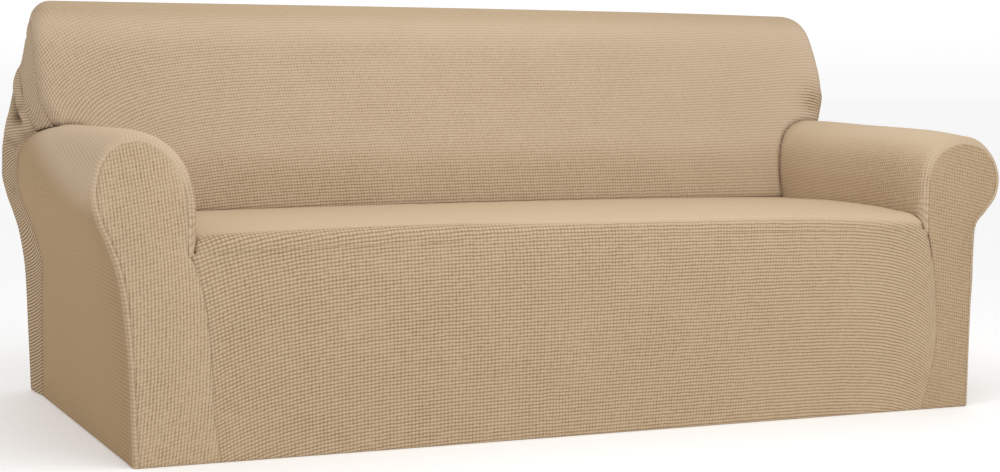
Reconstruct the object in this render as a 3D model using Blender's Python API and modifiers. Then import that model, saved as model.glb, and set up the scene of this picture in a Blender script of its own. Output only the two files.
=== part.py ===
"""Hollow fitted stretch cover for a three-seat sofa with rolled arms.

The cover is modelled in the shape that it takes when it is stretched over its sofa. It is sewn
from nine pieces of thin knitted cloth: a seat and apron, an inner and an outer back, two end
gussets of the back, two arm sleeves and two arm fronts. The pieces meet edge to edge at the seams.

X runs to the right as seen from the front, Y to the rear and Z up, in metres. The origin is the
centre of the footprint, on the floor. Up to the last step a depth is counted from the arm fronts.
"""

import math
from collections import namedtuple

import bmesh
import bpy

# Driving dimensions, metres
CLOTH_THICKNESS = 0.002
SEAM_GAP = 0.0004           # between two edges that are sewn together
CREASE_GAP = 0.0006         # between an edge and the cloth that it butts against
SEAT_HALF_WIDTH = 0.862     # from the middle to an inner arm
SHOULDER_DEPTH = 0.018      # the sleeve rounds over the arm's front edge within this depth
HEM_RADIUS = 0.006
HEM_TURN = 0.014            # cloth turned in under the edge
HEM_MITRE = 0.050           # the turned cloth narrows over this length at a corner
CORNER_BEND = 0.0035        # how far the hem bends inwards at a corner
LEAST_TURN = 0.10           # share of the turned cloth that is left in the corner
BACK_TUCK = 0.006           # the sleeve runs on past the face of the back by this much
ORIGIN_ACROSS = 0.001       # the origin's place, on the centre of the footprint
ORIGIN_DEPTH = 0.569
END_FLAT = 0.006            # flat cloth between the rounded end of the back and its gusset
FRONT_FLAT = 0.0015         # flat cloth between the front seam and the sleeve's rounded edge
FACE_CROWN = 0.012          # the inner back swells forward by this much at its middle
FRONT_DOME = 0.006          # an arm front swells forward by this much at its middle
DOME_START = 0.02           # share of the swell's height that is already there at the hem

LEFT = -1
RIGHT = 1

# Section of an arm, from the seat crease up the inner wall, over the roll and down to the hem.
# "steps" divides the stretch up to the next place. "inset" is how far the front seam lies inside
# the section. "rear" is the depth of the sleeve's rear edge; None is where it meets the back's face.
ArmPlace = namedtuple(
    "ArmPlace", "name left_across left_height right_across right_height inset rear steps"
)
ARM_SECTION = [
    ArmPlace("seat line", 0.862, 0.460, 0.862, 0.460, 0.018, None, 2),
    ArmPlace("inner wall", 0.862, 0.505, 0.862, 0.502, 0.018, None, 2),
    ArmPlace("inner rise", 0.865, 0.545, 0.864, 0.545, 0.018, None, 2),
    ArmPlace("inner roll", 0.880, 0.597, 0.876, 0.593, 0.018, None, 3),
    ArmPlace("inner crown", 0.914, 0.641, 0.906, 0.630, 0.018, None, 3),
    ArmPlace("crown", 0.966, 0.669, 0.958, 0.652, 0.018, None, 3),
    ArmPlace("outer crown", 1.014, 0.664, 1.010, 0.648, 0.016, 0.706, 1),
    ArmPlace("gusset foot", 1.036, 0.651, 1.034, 0.636, 0.014, 0.845, 1),
    ArmPlace("tent foot", 1.051, 0.635, 1.051, 0.621, 0.012, 0.889, 2),
    ArmPlace("outer roll", 1.067, 0.603, 1.072, 0.590, 0.010, 0.880, 3),
    ArmPlace("widest", 1.0765, 0.550, 1.083, 0.545, 0.010, 0.848, 3),
    ArmPlace("under roll", 1.066, 0.498, 1.074, 0.499, 0.010, 0.862, 2),
    ArmPlace("tuck", 1.048, 0.455, 1.044, 0.460, 0.010, 0.880, 2),
    ArmPlace("undercut", 1.030, 0.405, 1.021, 0.434, 0.010, 0.884, 1),
    ArmPlace("below", 1.017, 0.345, 1.015, 0.400, 0.010, 0.884, 2),
    ArmPlace("side high", 1.009, 0.260, 1.012, 0.300, 0.010, 0.940, 2),
    ArmPlace("side middle", 1.004, 0.150, 1.008, 0.170, 0.010, 0.972, 2),
    ArmPlace("side low", 1.001, 0.045, 1.005, 0.045, 0.010, 0.995, 1),
    ArmPlace("hem", 1.000, HEM_RADIUS, 1.004, HEM_RADIUS, 0.010, 1.000, 0),
]
INNER_CROWN = 4
OUTER_CROWN = 6
GUSSET_FOOT = 7
WIDEST = 10
HEM_PLACE = len(ARM_SECTION) - 1
FRONT_SEAM = -1                          # angle that stands for the front seam
SHOULDER_ANGLES = [FRONT_SEAM, 0, 30, 60, 90]  # degrees round the arm's front edge
SLEEVE_ROWS = 8
HEM_ANGLES = [90, 60, 30]                # degrees round the hem's bend

# How far the top of each arm rises or sinks along its depth.
ArmRise = namedtuple("ArmRise", "depth left right")
ARM_RISE = [
    ArmRise(0.00, 0.000, -0.012),
    ArmRise(0.15, 0.004, 0.000),
    ArmRise(0.42, 0.003, 0.007),
    ArmRise(0.66, 0.002, 0.013),
    ArmRise(0.99, -0.006, 0.010),
]
RISE_FROM_HEIGHT = 0.45
RISE_FULL_HEIGHT = 0.65

# The seam between the apron and each arm front.
ApronSeam = namedtuple("ApronSeam", "height left right")
APRON_SEAM = [
    ApronSeam(0.000, 0.819, 0.868),
    ApronSeam(0.050, 0.827, 0.884),
    ApronSeam(0.100, 0.833, 0.899),
    ApronSeam(0.180, 0.836, 0.909),
    ApronSeam(0.250, 0.840, 0.907),
    ApronSeam(0.300, 0.845, 0.903),
    ApronSeam(0.360, 0.857, 0.894),
    ApronSeam(0.400, 0.868, 0.886),
    ApronSeam(0.425, 0.880, 0.880),
]

# Apron and seat from the hem up and back, in the middle and along the two side edges.
ApronPlace = namedtuple("ApronPlace", "height depth")
APRON_SWELL = [
    ApronPlace(0.000, 0.000),
    ApronPlace(0.110, -0.004),
    ApronPlace(0.220, -0.010),
    ApronPlace(0.320, -0.012),
    ApronPlace(0.395, -0.009),
    ApronPlace(0.425, -0.004),
]
SeatPlace = namedtuple("SeatPlace", "name depth height side_depth side_height steps")
SEAT_LINE = [
    SeatPlace("edge start", -0.004, 0.432, 0.000, 0.425, 2),
    SeatPlace("edge", 0.005, 0.454, 0.006, 0.447, 2),
    SeatPlace("edge end", 0.022, 0.465, 0.024, 0.459, 1),
    SeatPlace("seat front", 0.065, 0.469, 0.065, 0.464, 1),
    SeatPlace("seat near", 0.200, 0.4715, 0.200, 0.4715, 2),
    SeatPlace("seat middle", 0.380, 0.4745, 0.380, 0.4735, 1),
    SeatPlace("seat far", 0.520, 0.4755, 0.520, 0.4700, 1),
    SeatPlace("crease", 0.6245, 0.4755, 0.6225, 0.4680, 0),
]
CORNER_CUT = 0.12           # share of the first step in which the edge leaves the apron's seam
SEAT_FLATNESS = 3           # power with which the seat falls from its middle to its sides
SEAT_COLUMNS = 22

# The inner back in side view, from the seat crease up its face and over the top.
BackPlace = namedtuple("BackPlace", "name depth height left right end_radius steps")
BACK_LINE = [
    BackPlace("crease", 0.623, 0.462, 0.930, 0.930, 0.022, 1),
    BackPlace("low", 0.637, 0.530, 0.930, 0.930, 0.022, 2),
    BackPlace("lumbar", 0.655, 0.600, 0.935, 0.935, 0.022, 2),
    BackPlace("arm top", 0.690, 0.662, 1.006, 1.015, 0.022, 2),
    BackPlace("shoulder", 0.725, 0.730, 1.036, 1.050, 0.022, 2),
    BackPlace("face middle", 0.752, 0.790, 1.043, 1.056, 0.022, 2),
    BackPlace("face high", 0.777, 0.845, 1.043, 1.056, 0.022, 1),
    BackPlace("brow", 0.798, 0.890, 1.040, 1.055, 0.025, 1),
    BackPlace("brow top", 0.814, 0.920, 1.037, 1.054, 0.032, 1),
    BackPlace("top front", 0.838, 0.944, 1.035, 1.052, 0.040, 1),
    BackPlace("top", 0.872, 0.9565, 1.031, 1.050, 0.045, 3),
    BackPlace("top rear", 0.918, 0.9575, 1.028, 1.048, 0.045, 1),
    BackPlace("rear edge", 0.955, 0.948, 1.025, 1.046, 0.041, 1),
    BackPlace("rear turn", 0.980, 0.922, 1.026, 1.045, 0.036, 1),
    BackPlace("rear seam", 0.990, 0.880, 1.032, 1.047, 0.034, 0),
]
ARM_TOP = 3
TOP_FRONT = 9
TOP_REAR = 13
REAR_SEAM = len(BACK_LINE) - 1
BACK_COLUMNS = 18
EDGE = 91                       # angle that stands for the edge beyond the rounding
END_ANGLES = [30, 60, 90, EDGE]  # degrees round the back's end, from its face to its side

# The top of the back droops a little to the right.
TopDroop = namedtuple("TopDroop", "across rise")
TOP_DROOP = [TopDroop(-1.05, 0.002), TopDroop(0.0, -0.001), TopDroop(0.6, -0.005), TopDroop(1.05, -0.012)]
DROOP_FROM_HEIGHT = 0.80
DROOP_FULL_HEIGHT = 0.957

# The outer back by height: depth of the rear face, corner radius and half widths at the corners.
RearPlace = namedtuple("RearPlace", "height depth corner left right")
REAR_LINE = [
    RearPlace(0.000, 1.150, 0.036, 1.008, 1.006),
    RearPlace(0.150, 1.147, 0.040, 1.013, 1.011),
    RearPlace(0.300, 1.140, 0.048, 1.020, 1.016),
    RearPlace(0.400, 1.131, 0.058, 1.036, 1.024),
    RearPlace(0.450, 1.125, 0.066, 1.052, 1.042),
    RearPlace(0.500, 1.120, 0.074, 1.070, 1.071),
    RearPlace(0.550, 1.113, 0.080, 1.081, 1.082),
    RearPlace(0.600, 1.106, 0.082, 1.081, 1.080),
    RearPlace(0.650, 1.092, 0.078, 1.077, 1.073),
    RearPlace(0.700, 1.068, 0.068, 1.067, 1.065),
    RearPlace(0.750, 1.045, 0.056, 1.058, 1.058),
    RearPlace(0.790, 1.026, 0.044, 1.0515, 1.054),
    RearPlace(0.815, 1.014, 0.038, 1.041, 1.051),
    RearPlace(0.880, 0.990, 0.034, 1.032, 1.047),
]
RETURN_COLUMNS = 4
REAR_COLUMNS = 12
CORNER_ANGLES = [22, 45, 68, 90]

# The seam that climbs from the arm top to the bump at the rear of the gusset.
TentSeam = namedtuple("TentSeam", "depth height across")
TENT_SEAM = [
    TentSeam(0.885, 0.700, 1.046),
    TentSeam(0.930, 0.750, 1.050),
]
NOTCH_DEPTHS = [0.58, 0.64, 0.68, 0.72, 0.78, 0.84]
NOTCH_FLOOR = 0.40              # the notch reaches down to this height
GUSSET_TOP_OF_TENT = 0.800      # height
TENT_ROWS = 5
GUSSET_REAR_ROWS = 3
FOOT_HALVINGS = 16

# Main folds where the cloth of the arm is drawn up to the back's end, as lines in side view.
Fold = namedtuple("Fold", "side depth height end_depth end_height half_width rise")
FOLDS = [
    Fold(LEFT, 1.005, 0.790, 0.885, 0.666, 0.022, 0.004),
    Fold(LEFT, 0.972, 0.724, 0.948, 0.682, 0.018, -0.012),
    Fold(LEFT, 0.915, 0.640, 0.850, 0.655, 0.016, -0.006),
    Fold(RIGHT, 0.995, 0.785, 0.880, 0.672, 0.024, 0.006),
    Fold(RIGHT, 0.950, 0.705, 0.930, 0.672, 0.022, -0.010),
]

KNIT_COLOUR = (0.52, 0.39, 0.26, 1.0)
KNIT_ROUGHNESS = 0.92


# ---------------------------------------------------------------- curves through the tables

def mix(first, second, share):
    """A number or a point part of the way from the first to the second."""
    if isinstance(first, (int, float)):
        return first + (second - first) * share
    return tuple(a + (b - a) * share for a, b in zip(first, second))


def limit(value, low=0.0, high=1.0):
    return max(low, min(high, value))


def smooth(share):
    """Ease in and out between 0 and 1."""
    share = limit(share)
    return share * share * (3 - 2 * share)


def hermite(start, end, start_slope, end_slope, length, share):
    square, cube = share * share, share ** 3
    return (
        start * (2 * cube - 3 * square + 1)
        + start_slope * length * (cube - 2 * square + share)
        + end * (3 * square - 2 * cube)
        + end_slope * length * (cube - square)
    )


def read(table, station, column, at):
    """One column of a table at a station, on a smooth curve that never overshoots a row."""
    stations = [getattr(row, station) for row in table]
    values = [getattr(row, column) for row in table]
    if at <= stations[0]:
        return values[0]
    if at >= stations[-1]:
        return values[-1]
    slopes = [
        (values[i + 1] - values[i]) / (stations[i + 1] - stations[i]) for i in range(len(values) - 1)
    ]
    i = max(k for k in range(len(slopes)) if stations[k] <= at)
    start_slope = level_slope(slopes, i - 1, i)
    end_slope = level_slope(slopes, i, i + 1)
    length = stations[i + 1] - stations[i]
    return hermite(values[i], values[i + 1], start_slope, end_slope, length, (at - stations[i]) / length)


def level_slope(slopes, before, after):
    """Slope at a row between two stretches, level where they turn."""
    if before < 0:
        return slopes[after]
    if after >= len(slopes):
        return slopes[before]
    product = slopes[before] * slopes[after]
    return 2 * product / (slopes[before] + slopes[after]) if product > 0 else 0.0


def follow(points, place):
    """Point on a smooth curve through points, at a place counted in points from the first."""
    last = len(points) - 1
    i = min(int(place), last - 1)
    lengths = [math.dist(points[k], points[k + 1]) for k in range(last)]

    def slope(k):
        low, high = max(k - 1, 0), min(k + 1, last)
        span = sum(lengths[low:high])
        return [(b - a) / span for a, b in zip(points[low], points[high])]

    start, end = slope(i), slope(i + 1)
    return tuple(
        hermite(points[i][n], points[i + 1][n], start[n], end[n], lengths[i], place - i)
        for n in range(len(points[i]))
    )


def along_normal(points, place):
    """Unit normal of a curve in a plane, on its right-hand side."""
    step = 0.01
    low = follow(points, max(place - step, 0))
    high = follow(points, min(place + step, len(points) - 1))
    run, rise = high[0] - low[0], high[1] - low[1]
    length = math.hypot(run, rise)
    return rise / length, -run / length


def divide(table, first=0, last=None):
    """Places along a table, with each stretch divided by its steps."""
    last = len(table) - 1 if last is None else last
    places = [
        i + k / table[i].steps for i in range(first, last) for k in range(table[i].steps)
    ]
    return places + [float(last)]


# ---------------------------------------------------------------- arms

def seat_side_height(depth):
    """Height of the seat's side edge, where the inner arm rises from it."""
    return read(SEAT_LINE, "side_depth", "side_height", depth)


def arm_points(side, depth):
    """Across and height of the section's places at a depth."""
    across, height, rise = (
        ("left_across", "left_height", "left") if side == LEFT
        else ("right_across", "right_height", "right")
    )
    lift = read(ARM_RISE, "depth", rise, depth)
    points = []
    for row in ARM_SECTION:
        level = getattr(row, height)
        share = limit((level - RISE_FROM_HEIGHT) / (RISE_FULL_HEIGHT - RISE_FROM_HEIGHT))
        points.append((getattr(row, across), level + lift * share))
    points[0] = (points[0][0], seat_side_height(depth) + CREASE_GAP)
    return points


def arm_column(name, place):
    """A column of the arm's table at a place between two rows."""
    i = min(int(place), HEM_PLACE - 1)
    return mix(getattr(ARM_SECTION[i], name), getattr(ARM_SECTION[i + 1], name), place - i)


def face_depth(height):
    """Depth of the inner back's face at a height."""
    return read(BACK_LINE[:TOP_FRONT], "height", "depth", height)


def sleeve_rear(side, place):
    """Depth at which the sleeve ends."""
    if place < OUTER_CROWN:
        height = follow(arm_points(side, BACK_LINE[ARM_TOP].depth), place)[1]
        return face_depth(height) + BACK_TUCK
    return arm_column("rear", place)


def fold_rise(side, depth, height):
    """How far the folds push the cloth of one side outwards."""
    total = 0.0
    for fold in FOLDS:
        if fold.side != side:
            continue
        run = (fold.end_depth - fold.depth, fold.end_height - fold.height)
        square = run[0] ** 2 + run[1] ** 2
        share = limit(((depth - fold.depth) * run[0] + (height - fold.height) * run[1]) / square)
        near = (fold.depth + run[0] * share, fold.height + run[1] * share)
        distance = math.dist((depth, height), near) / fold.half_width
        total += fold.rise * math.exp(-distance * distance)
    return total


def pushed_out(side, point, sense):
    """A point of one side moved outwards by the folds, or back inwards for a sense of -1."""
    across, depth, height = point
    return across + side * sense * fold_rise(side, depth, height), depth, height


def arm_surface(side, place, depth):
    """Point of the sleeve's outer face, folds included, for a depth behind the shoulder."""
    across, height = follow(arm_points(side, depth), place)
    return pushed_out(side, (side * across, depth, height), 1)


def shoulder_point(side, place, angle):
    """Point where the sleeve rounds over the front edge: 0 is its start, 90 the full section.

    An angle below 0 is the front seam, on the flat cloth before the rounding.
    """
    turn = math.radians(max(angle, 0))
    depth = SHOULDER_DEPTH * (1 - math.cos(turn))
    points = arm_points(side, depth)
    across, height = follow(points, place)
    right, up = along_normal(points, place) if place > 0 else (1.0, 0.0)
    inset = arm_column("inset", place) * (1 - math.sin(turn)) + (FRONT_FLAT if angle < 0 else 0.0)
    return side * (across + right * inset), depth, height + up * inset


def hem_points(wall, inward, turned):
    """The hem below a wall point, from the edge of the turned cloth up to the wall."""
    bend = mix(CORNER_BEND, HEM_RADIUS, turned)
    rows = [(bend + (HEM_TURN - HEM_RADIUS) * max(turned, LEAST_TURN), 0.0)]
    for angle in HEM_ANGLES:
        turn = math.radians(angle)
        rows.append((bend * (1 - math.cos(turn)), HEM_RADIUS * (1 - math.sin(turn))))
    return [(wall[0] + inward[0] * reach, wall[1] + inward[1] * reach, height) for reach, height in rows]


def arm_sleeve(side):
    """Rows run from the front seam to the rear edge, columns from the seat crease to the hem."""
    places = divide(ARM_SECTION)
    grid = []
    for angle in SHOULDER_ANGLES:
        row = [shoulder_point(side, place, angle) for place in places]
        turn = math.radians(max(angle, 0))
        inward = (-side * math.sin(turn), math.cos(turn))
        grid.append(row + hem_points(row[-1], inward, 0.0)[::-1])
    for k in range(1, SLEEVE_ROWS + 1):
        row = []
        for place in places:
            depth = mix(SHOULDER_DEPTH, sleeve_rear(side, place), k / SLEEVE_ROWS)
            row.append(arm_surface(side, place, depth))
        turned = limit((row[-1][1] - SHOULDER_DEPTH) / HEM_MITRE)
        grid.append(row + hem_points(row[-1], (-side, 0.0), turned)[::-1])
    return grid


def coons(bottom, top, left, right):
    """Grid of points spanned by four edge lines; rows run from the bottom to the top."""
    grid = []
    rows, columns = len(left) - 1, len(bottom) - 1
    for j in range(rows + 1):
        v = j / rows
        row = []
        for i in range(columns + 1):
            u = i / columns
            across = mix(left[j], right[j], u)
            upward = mix(bottom[i], top[i], v)
            corners = mix(mix(bottom[0], bottom[-1], u), mix(top[0], top[-1], u), v)
            row.append(tuple(a + b - c for a, b, c in zip(across, upward, corners)))
        grid.append(row)
    return grid


def apron_heights():
    """Heights at which the apron and the arm fronts are sewn, so that their edges agree."""
    steps = [row.steps for row in ARM_SECTION]
    count = sum(steps[OUTER_CROWN:]) - sum(steps[:INNER_CROWN])
    return [mix(HEM_RADIUS, APRON_SEAM[-1].height, k / count) for k in range(count + 1)]


def apron_seam_point(side, height):
    column = "left" if side == LEFT else "right"
    return side * read(APRON_SEAM, "height", column, height), 0.0, height


def arm_front(side):
    """Rows run from the hem to the top of the scroll, columns from the inner to the outer edge."""
    ring = [shoulder_point(side, place, FRONT_SEAM) for place in divide(ARM_SECTION)]
    first = sum(row.steps for row in ARM_SECTION[:INNER_CROWN])
    second = sum(row.steps for row in ARM_SECTION[:OUTER_CROWN])
    outer = ring[second:][::-1]
    inner = [apron_seam_point(side, height) for height in apron_heights()[:-1]] + ring[:first + 1]
    columns = second - first
    bottom = [mix(inner[0], outer[0], k / columns) for k in range(columns + 1)]
    grid = coons(bottom, ring[first:second + 1], inner, outer)
    rows = len(grid) - 1
    for j, row in enumerate(grid):
        for i, point in enumerate(row):
            across_swell = math.sin(math.pi * i / columns) ** 2
            upward_swell = math.sin(math.pi * limit(j / rows + DOME_START)) ** 2
            row[i] = (point[0], point[1] - FRONT_DOME * across_swell * upward_swell, point[2])
    hems = [
        hem_points(point, (0.0, 1.0), limit(abs(point[0] - outer[0][0]) / HEM_MITRE)) for point in grid[0]
    ]
    return [list(row) for row in zip(*hems)] + grid


# ---------------------------------------------------------------- seat and apron

def seat_edge_across(side, depth, height):
    """Distance from the middle to the seat's side edge."""
    if height <= APRON_SEAM[-1].height:
        return abs(apron_seam_point(side, height)[0])
    reach = limit(1 - (depth + CLOTH_THICKNESS + CREASE_GAP) / SHOULDER_DEPTH)
    shoulder = ARM_SECTION[0].inset * (1 - math.sqrt(1 - reach * reach))
    return SEAT_HALF_WIDTH - CREASE_GAP + shoulder


def seat_row(centre, side):
    """A row from the left edge to the right, through its depth and height at the middle and sides."""
    ends = [seat_edge_across(end, *side) for end in (LEFT, RIGHT)]
    row = []
    for k in range(SEAT_COLUMNS + 1):
        share = 2 * k / SEAT_COLUMNS - 1
        across = share * (ends[0] if share < 0 else ends[1])
        row.append((across, *mix(centre, side, abs(share) ** SEAT_FLATNESS)))
    return row


def seat_apron():
    """Rows run from the hem up the apron and back over the seat, columns from left to right."""
    top = APRON_SEAM[-1].height
    grid = []
    for height in apron_heights():
        swell = read(APRON_SWELL, "height", "depth", height)
        rise = (SEAT_LINE[0].height - top) * (height - HEM_RADIUS) / (top - HEM_RADIUS)
        grid.append(seat_row((swell, height + rise), (0.0, height)))
    middle = [(row.depth, row.height) for row in SEAT_LINE]
    sides = [(row.side_depth, row.side_height) for row in SEAT_LINE]
    for place in [CORNER_CUT] + divide(SEAT_LINE)[1:]:
        grid.append(seat_row(follow(middle, place), follow(sides, place)))
    grid[-1] = [
        (across, back_front(across, height) - CREASE_GAP, height) for across, _, height in grid[-1]
    ]
    hems = [hem_points(point, (0.0, 1.0), 1.0) for point in grid[0]]
    return [list(row) for row in zip(*hems)] + grid


# ---------------------------------------------------------------- back

def top_droop(across, height):
    share = limit((height - DROOP_FROM_HEIGHT) / (DROOP_FULL_HEIGHT - DROOP_FROM_HEIGHT))
    return share * read(TOP_DROOP, "across", "rise", across)


def face_swell(across, height):
    """How far the face of the back stands forward of its side view."""
    low, high = BACK_LINE[0].height, BACK_LINE[TOP_FRONT].height
    upward = math.sin(math.pi * limit((height - low) / (high - low)))
    return FACE_CROWN * upward * max(0.0, 1 - (across / SEAT_HALF_WIDTH) ** 2)


def back_front(across, height):
    """Depth of the inner back's face where the seat meets it."""
    return face_depth(height) - face_swell(across, height)


def back_column(name, place):
    i = min(int(place), REAR_SEAM - 1)
    return mix(getattr(BACK_LINE[i], name), getattr(BACK_LINE[i + 1], name), place - i)


def back_point(side, place, share, angle):
    """Point of the inner back: the share runs from the middle to the end, which the angle rounds.

    An angle past 90 is the edge of the cloth, on the flat side beyond the rounding.
    """
    line = [(row.depth, row.height) for row in BACK_LINE]
    depth, height = follow(line, place)
    inward = along_normal(line, place)
    radius = back_column("end_radius", place)
    half = back_column("left" if side == LEFT else "right", place)
    turn = math.radians(min(angle, 90))
    across = side * (share * (half - radius) + radius * math.sin(turn))
    drop = radius * (1 - math.cos(turn)) + (END_FLAT if angle > 90 else 0.0)
    depth += inward[0] * drop - face_swell(across, height) * (place < TOP_FRONT)
    height += inward[1] * drop + top_droop(across, height)
    return across, depth, height


def inner_back():
    """Rows run from the crease up the face and over the top, columns from left to right."""
    half = BACK_COLUMNS // 2
    grid = []
    for place in divide(BACK_LINE):
        left = [back_point(LEFT, place, 1, angle) for angle in END_ANGLES[::-1]]
        left += [back_point(LEFT, place, 1 - k / half, 0) for k in range(half)]
        right = [back_point(RIGHT, place, k / half, 0) for k in range(half + 1)]
        right += [back_point(RIGHT, place, 1, angle) for angle in END_ANGLES]
        grid.append(left + right)
    return grid


def gusset_side(side, height):
    """Point on the rear edge of the gusset, above the tent."""
    depth = read(REAR_LINE, "height", "depth", height) - read(REAR_LINE, "height", "corner", height)
    across = read(REAR_LINE, "height", "left" if side == LEFT else "right", height)
    return pushed_out(side, (side * across, depth - END_FLAT, height), 1)


def tent_points(side):
    """The seam from the gusset's foot on the arm up to the top of the tent."""
    foot = arm_surface(side, GUSSET_FOOT, ARM_SECTION[GUSSET_FOOT].rear)
    middle = [pushed_out(side, (side * row.across, row.depth, row.height), 1) for row in TENT_SEAM]
    top = gusset_side(side, GUSSET_TOP_OF_TENT)
    points = [foot] + middle + [top]
    last = len(points) - 1
    return [follow(points, last * k / TENT_ROWS) for k in range(TENT_ROWS + 1)]


def gusset_rear_points(side):
    """The gusset's rear edge from the top of the tent to the rear seam, tilted as the back turns."""
    end = back_point(side, REAR_SEAM, 1, EDGE)
    start = gusset_side(side, GUSSET_TOP_OF_TENT)
    points = []
    for k in range(1, GUSSET_REAR_ROWS + 1):
        share = k / GUSSET_REAR_ROWS
        height = mix(GUSSET_TOP_OF_TENT, end[2], share)
        straight = gusset_side(side, height)
        closing = mix(start, end, share)
        points.append(mix(straight, closing, smooth(share)))
    return points


def back_end(side):
    """Rows run from the arm top to the top of the back, columns from the front to the rear edge."""
    front = [back_point(side, place, 1, EDGE) for place in divide(BACK_LINE, ARM_TOP, TOP_FRONT)]
    front[0] = gusset_front_foot(side)
    top = [back_point(side, place, 1, EDGE) for place in divide(BACK_LINE, TOP_FRONT, TOP_REAR)]
    over = [back_point(side, place, 1, EDGE) for place in divide(BACK_LINE, TOP_REAR)]
    rear = tent_points(side) + gusset_rear_points(side)[:-1] + over[::-1]
    columns = len(top) - 1
    bottom = []
    for k in range(columns + 1):
        across, depth, _ = mix(front[0], rear[0], k / columns)
        bottom.append((across, depth, roll_height(side, abs(across) - CLOTH_THICKNESS, depth) + CREASE_GAP))
    bottom[0], bottom[-1] = front[0], rear[0]
    edges = [[pushed_out(side, point, -1) for point in line] for line in (bottom, top, front, rear)]
    return [[pushed_out(side, point, 1) for point in row] for row in coons(*edges)]


def gusset_front_foot(side):
    """Where the gusset's front seam comes down to the roll of the arm."""
    low, high = ARM_TOP, ARM_TOP + 1
    for _ in range(FOOT_HALVINGS):
        place = (low + high) / 2
        point = back_point(side, place, 1, EDGE)
        if point[2] > roll_height(side, abs(point[0]) - CLOTH_THICKNESS, point[1]) + CREASE_GAP:
            high = place
        else:
            low = place
    return back_point(side, high, 1, EDGE)


def roll_height(side, across, depth):
    """Height of the arm's outer crown at a distance from the middle."""
    points = arm_points(side, depth)
    place = OUTER_CROWN - 1.0
    step = 1 / 16
    while place < HEM_PLACE and follow(points, place)[0] < across:
        place += step
    return follow(points, place)[1]


def outer_side_points(side):
    """The outer back's side edge, from the hem up to the rear seam."""
    lower = [
        arm_surface(side, place, sleeve_rear(side, place))
        for place in divide(ARM_SECTION, GUSSET_FOOT)[::-1]
    ]
    return lower + tent_points(side)[1:] + gusset_rear_points(side)


def rear_corner(side, height, angle, tilt):
    """Point on the rounded rear corner: 0 is on the side, 90 on the rear face."""
    depth = read(REAR_LINE, "height", "depth", height)
    radius = read(REAR_LINE, "height", "corner", height)
    half = read(REAR_LINE, "height", "left" if side == LEFT else "right", height)
    turn = math.radians(angle)
    drop = radius * (1 - math.sin(turn))
    across = half - radius * (1 - math.cos(turn))
    return side * across, depth - drop * tilt[0], height - drop * tilt[1]


def outer_half_row(side, edge, height, tilt):
    """Points of one half of a row of the outer back, from its side edge to the rear face."""
    start = rear_corner(side, height, 0, tilt)
    unfolded = abs(edge[0]) - fold_rise(side, edge[1], edge[2])
    row = []
    for k in range(RETURN_COLUMNS):
        share = k / RETURN_COLUMNS
        depth, level = mix(edge[1], start[1], share), mix(edge[2], start[2], share)
        across = mix(unfolded, abs(start[0]), smooth(share))
        row.append((side * (across + fold_rise(side, depth, level)), depth, level))
    return row + [rear_corner(side, height, angle, tilt) for angle in [0] + CORNER_ANGLES]


def outer_back():
    """Rows run from the hem to the rear seam, columns from the left side edge to the right."""
    left_edge, right_edge = outer_side_points(LEFT), outer_side_points(RIGHT)
    line = [(row.depth, row.height) for row in BACK_LINE]
    end_tilt = along_normal(line, REAR_SEAM)
    rows = len(left_edge)
    grid = []
    for k in range(rows):
        closing = limit((k - (rows - 1 - GUSSET_REAR_ROWS)) / GUSSET_REAR_ROWS)
        tilt = (mix(1.0, -end_tilt[0], closing), -end_tilt[1] * closing)
        halves = []
        for side, edge in ((LEFT, left_edge[k]), (RIGHT, right_edge[k])):
            radius = read(REAR_LINE, "height", "corner", edge[2])
            height = edge[2] + radius * tilt[1]
            halves.append(outer_half_row(side, edge, height, tilt))
        left, right = halves[0], halves[1][::-1]
        rear = [mix(left[-1], right[0], i / REAR_COLUMNS) for i in range(1, REAR_COLUMNS)]
        grid.append(left + rear + right)
    grid[-1] = outer_top_row()
    hems = []
    for k, point in enumerate(grid[0]):
        before, after = grid[0][max(k - 1, 0)], grid[0][min(k + 1, len(grid[0]) - 1)]
        run, rise = after[0] - before[0], after[1] - before[1]
        length = math.hypot(run, rise)
        hems.append(hem_points(point, (rise / length, -run / length), 1))
    return [list(row) for row in zip(*hems)] + grid


def outer_top_row():
    """The rear seam, which the outer back shares with the inner back."""
    row = []
    for side in (LEFT, RIGHT):
        edge = back_point(side, REAR_SEAM, 1, EDGE)
        inner = back_point(side, REAR_SEAM, 1, 90)
        half = [mix(edge, inner, k / RETURN_COLUMNS) for k in range(RETURN_COLUMNS)]
        half += [back_point(side, REAR_SEAM, 1, 90 - angle) for angle in [0] + CORNER_ANGLES]
        row.append(half)
    left, right = row[0], row[1][::-1]
    rear = []
    for i in range(1, REAR_COLUMNS):
        across = mix(left[-1][0], right[0][0], i / REAR_COLUMNS)
        side = LEFT if across < 0 else RIGHT
        reach = abs(left[-1][0] if side == LEFT else right[0][0])
        rear.append(back_point(side, REAR_SEAM, abs(across) / reach, 0))
    return left + rear + right


# ---------------------------------------------------------------- objects

def drawn_in(grid, edges):
    """Draw the named edges of a grid in by half a seam, towards the next row or column."""
    last, end = len(grid) - 1, len(grid[0]) - 1
    for name in edges:
        if name in ("first row", "last row"):
            edge, inner = (0, 1) if name == "first row" else (last, last - 1)
            for i in range(end + 1):
                grid[edge][i] = drawn_point(grid[edge][i], grid[inner][i])
        else:
            edge, inner = (0, 1) if name == "first column" else (end, end - 1)
            for row in grid:
                row[edge] = drawn_point(row[edge], row[inner])
    return grid


def drawn_point(point, towards):
    return mix(point, towards, limit(SEAM_GAP / 2 / max(math.dist(point, towards), 1e-9), 0, 0.5))


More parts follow.
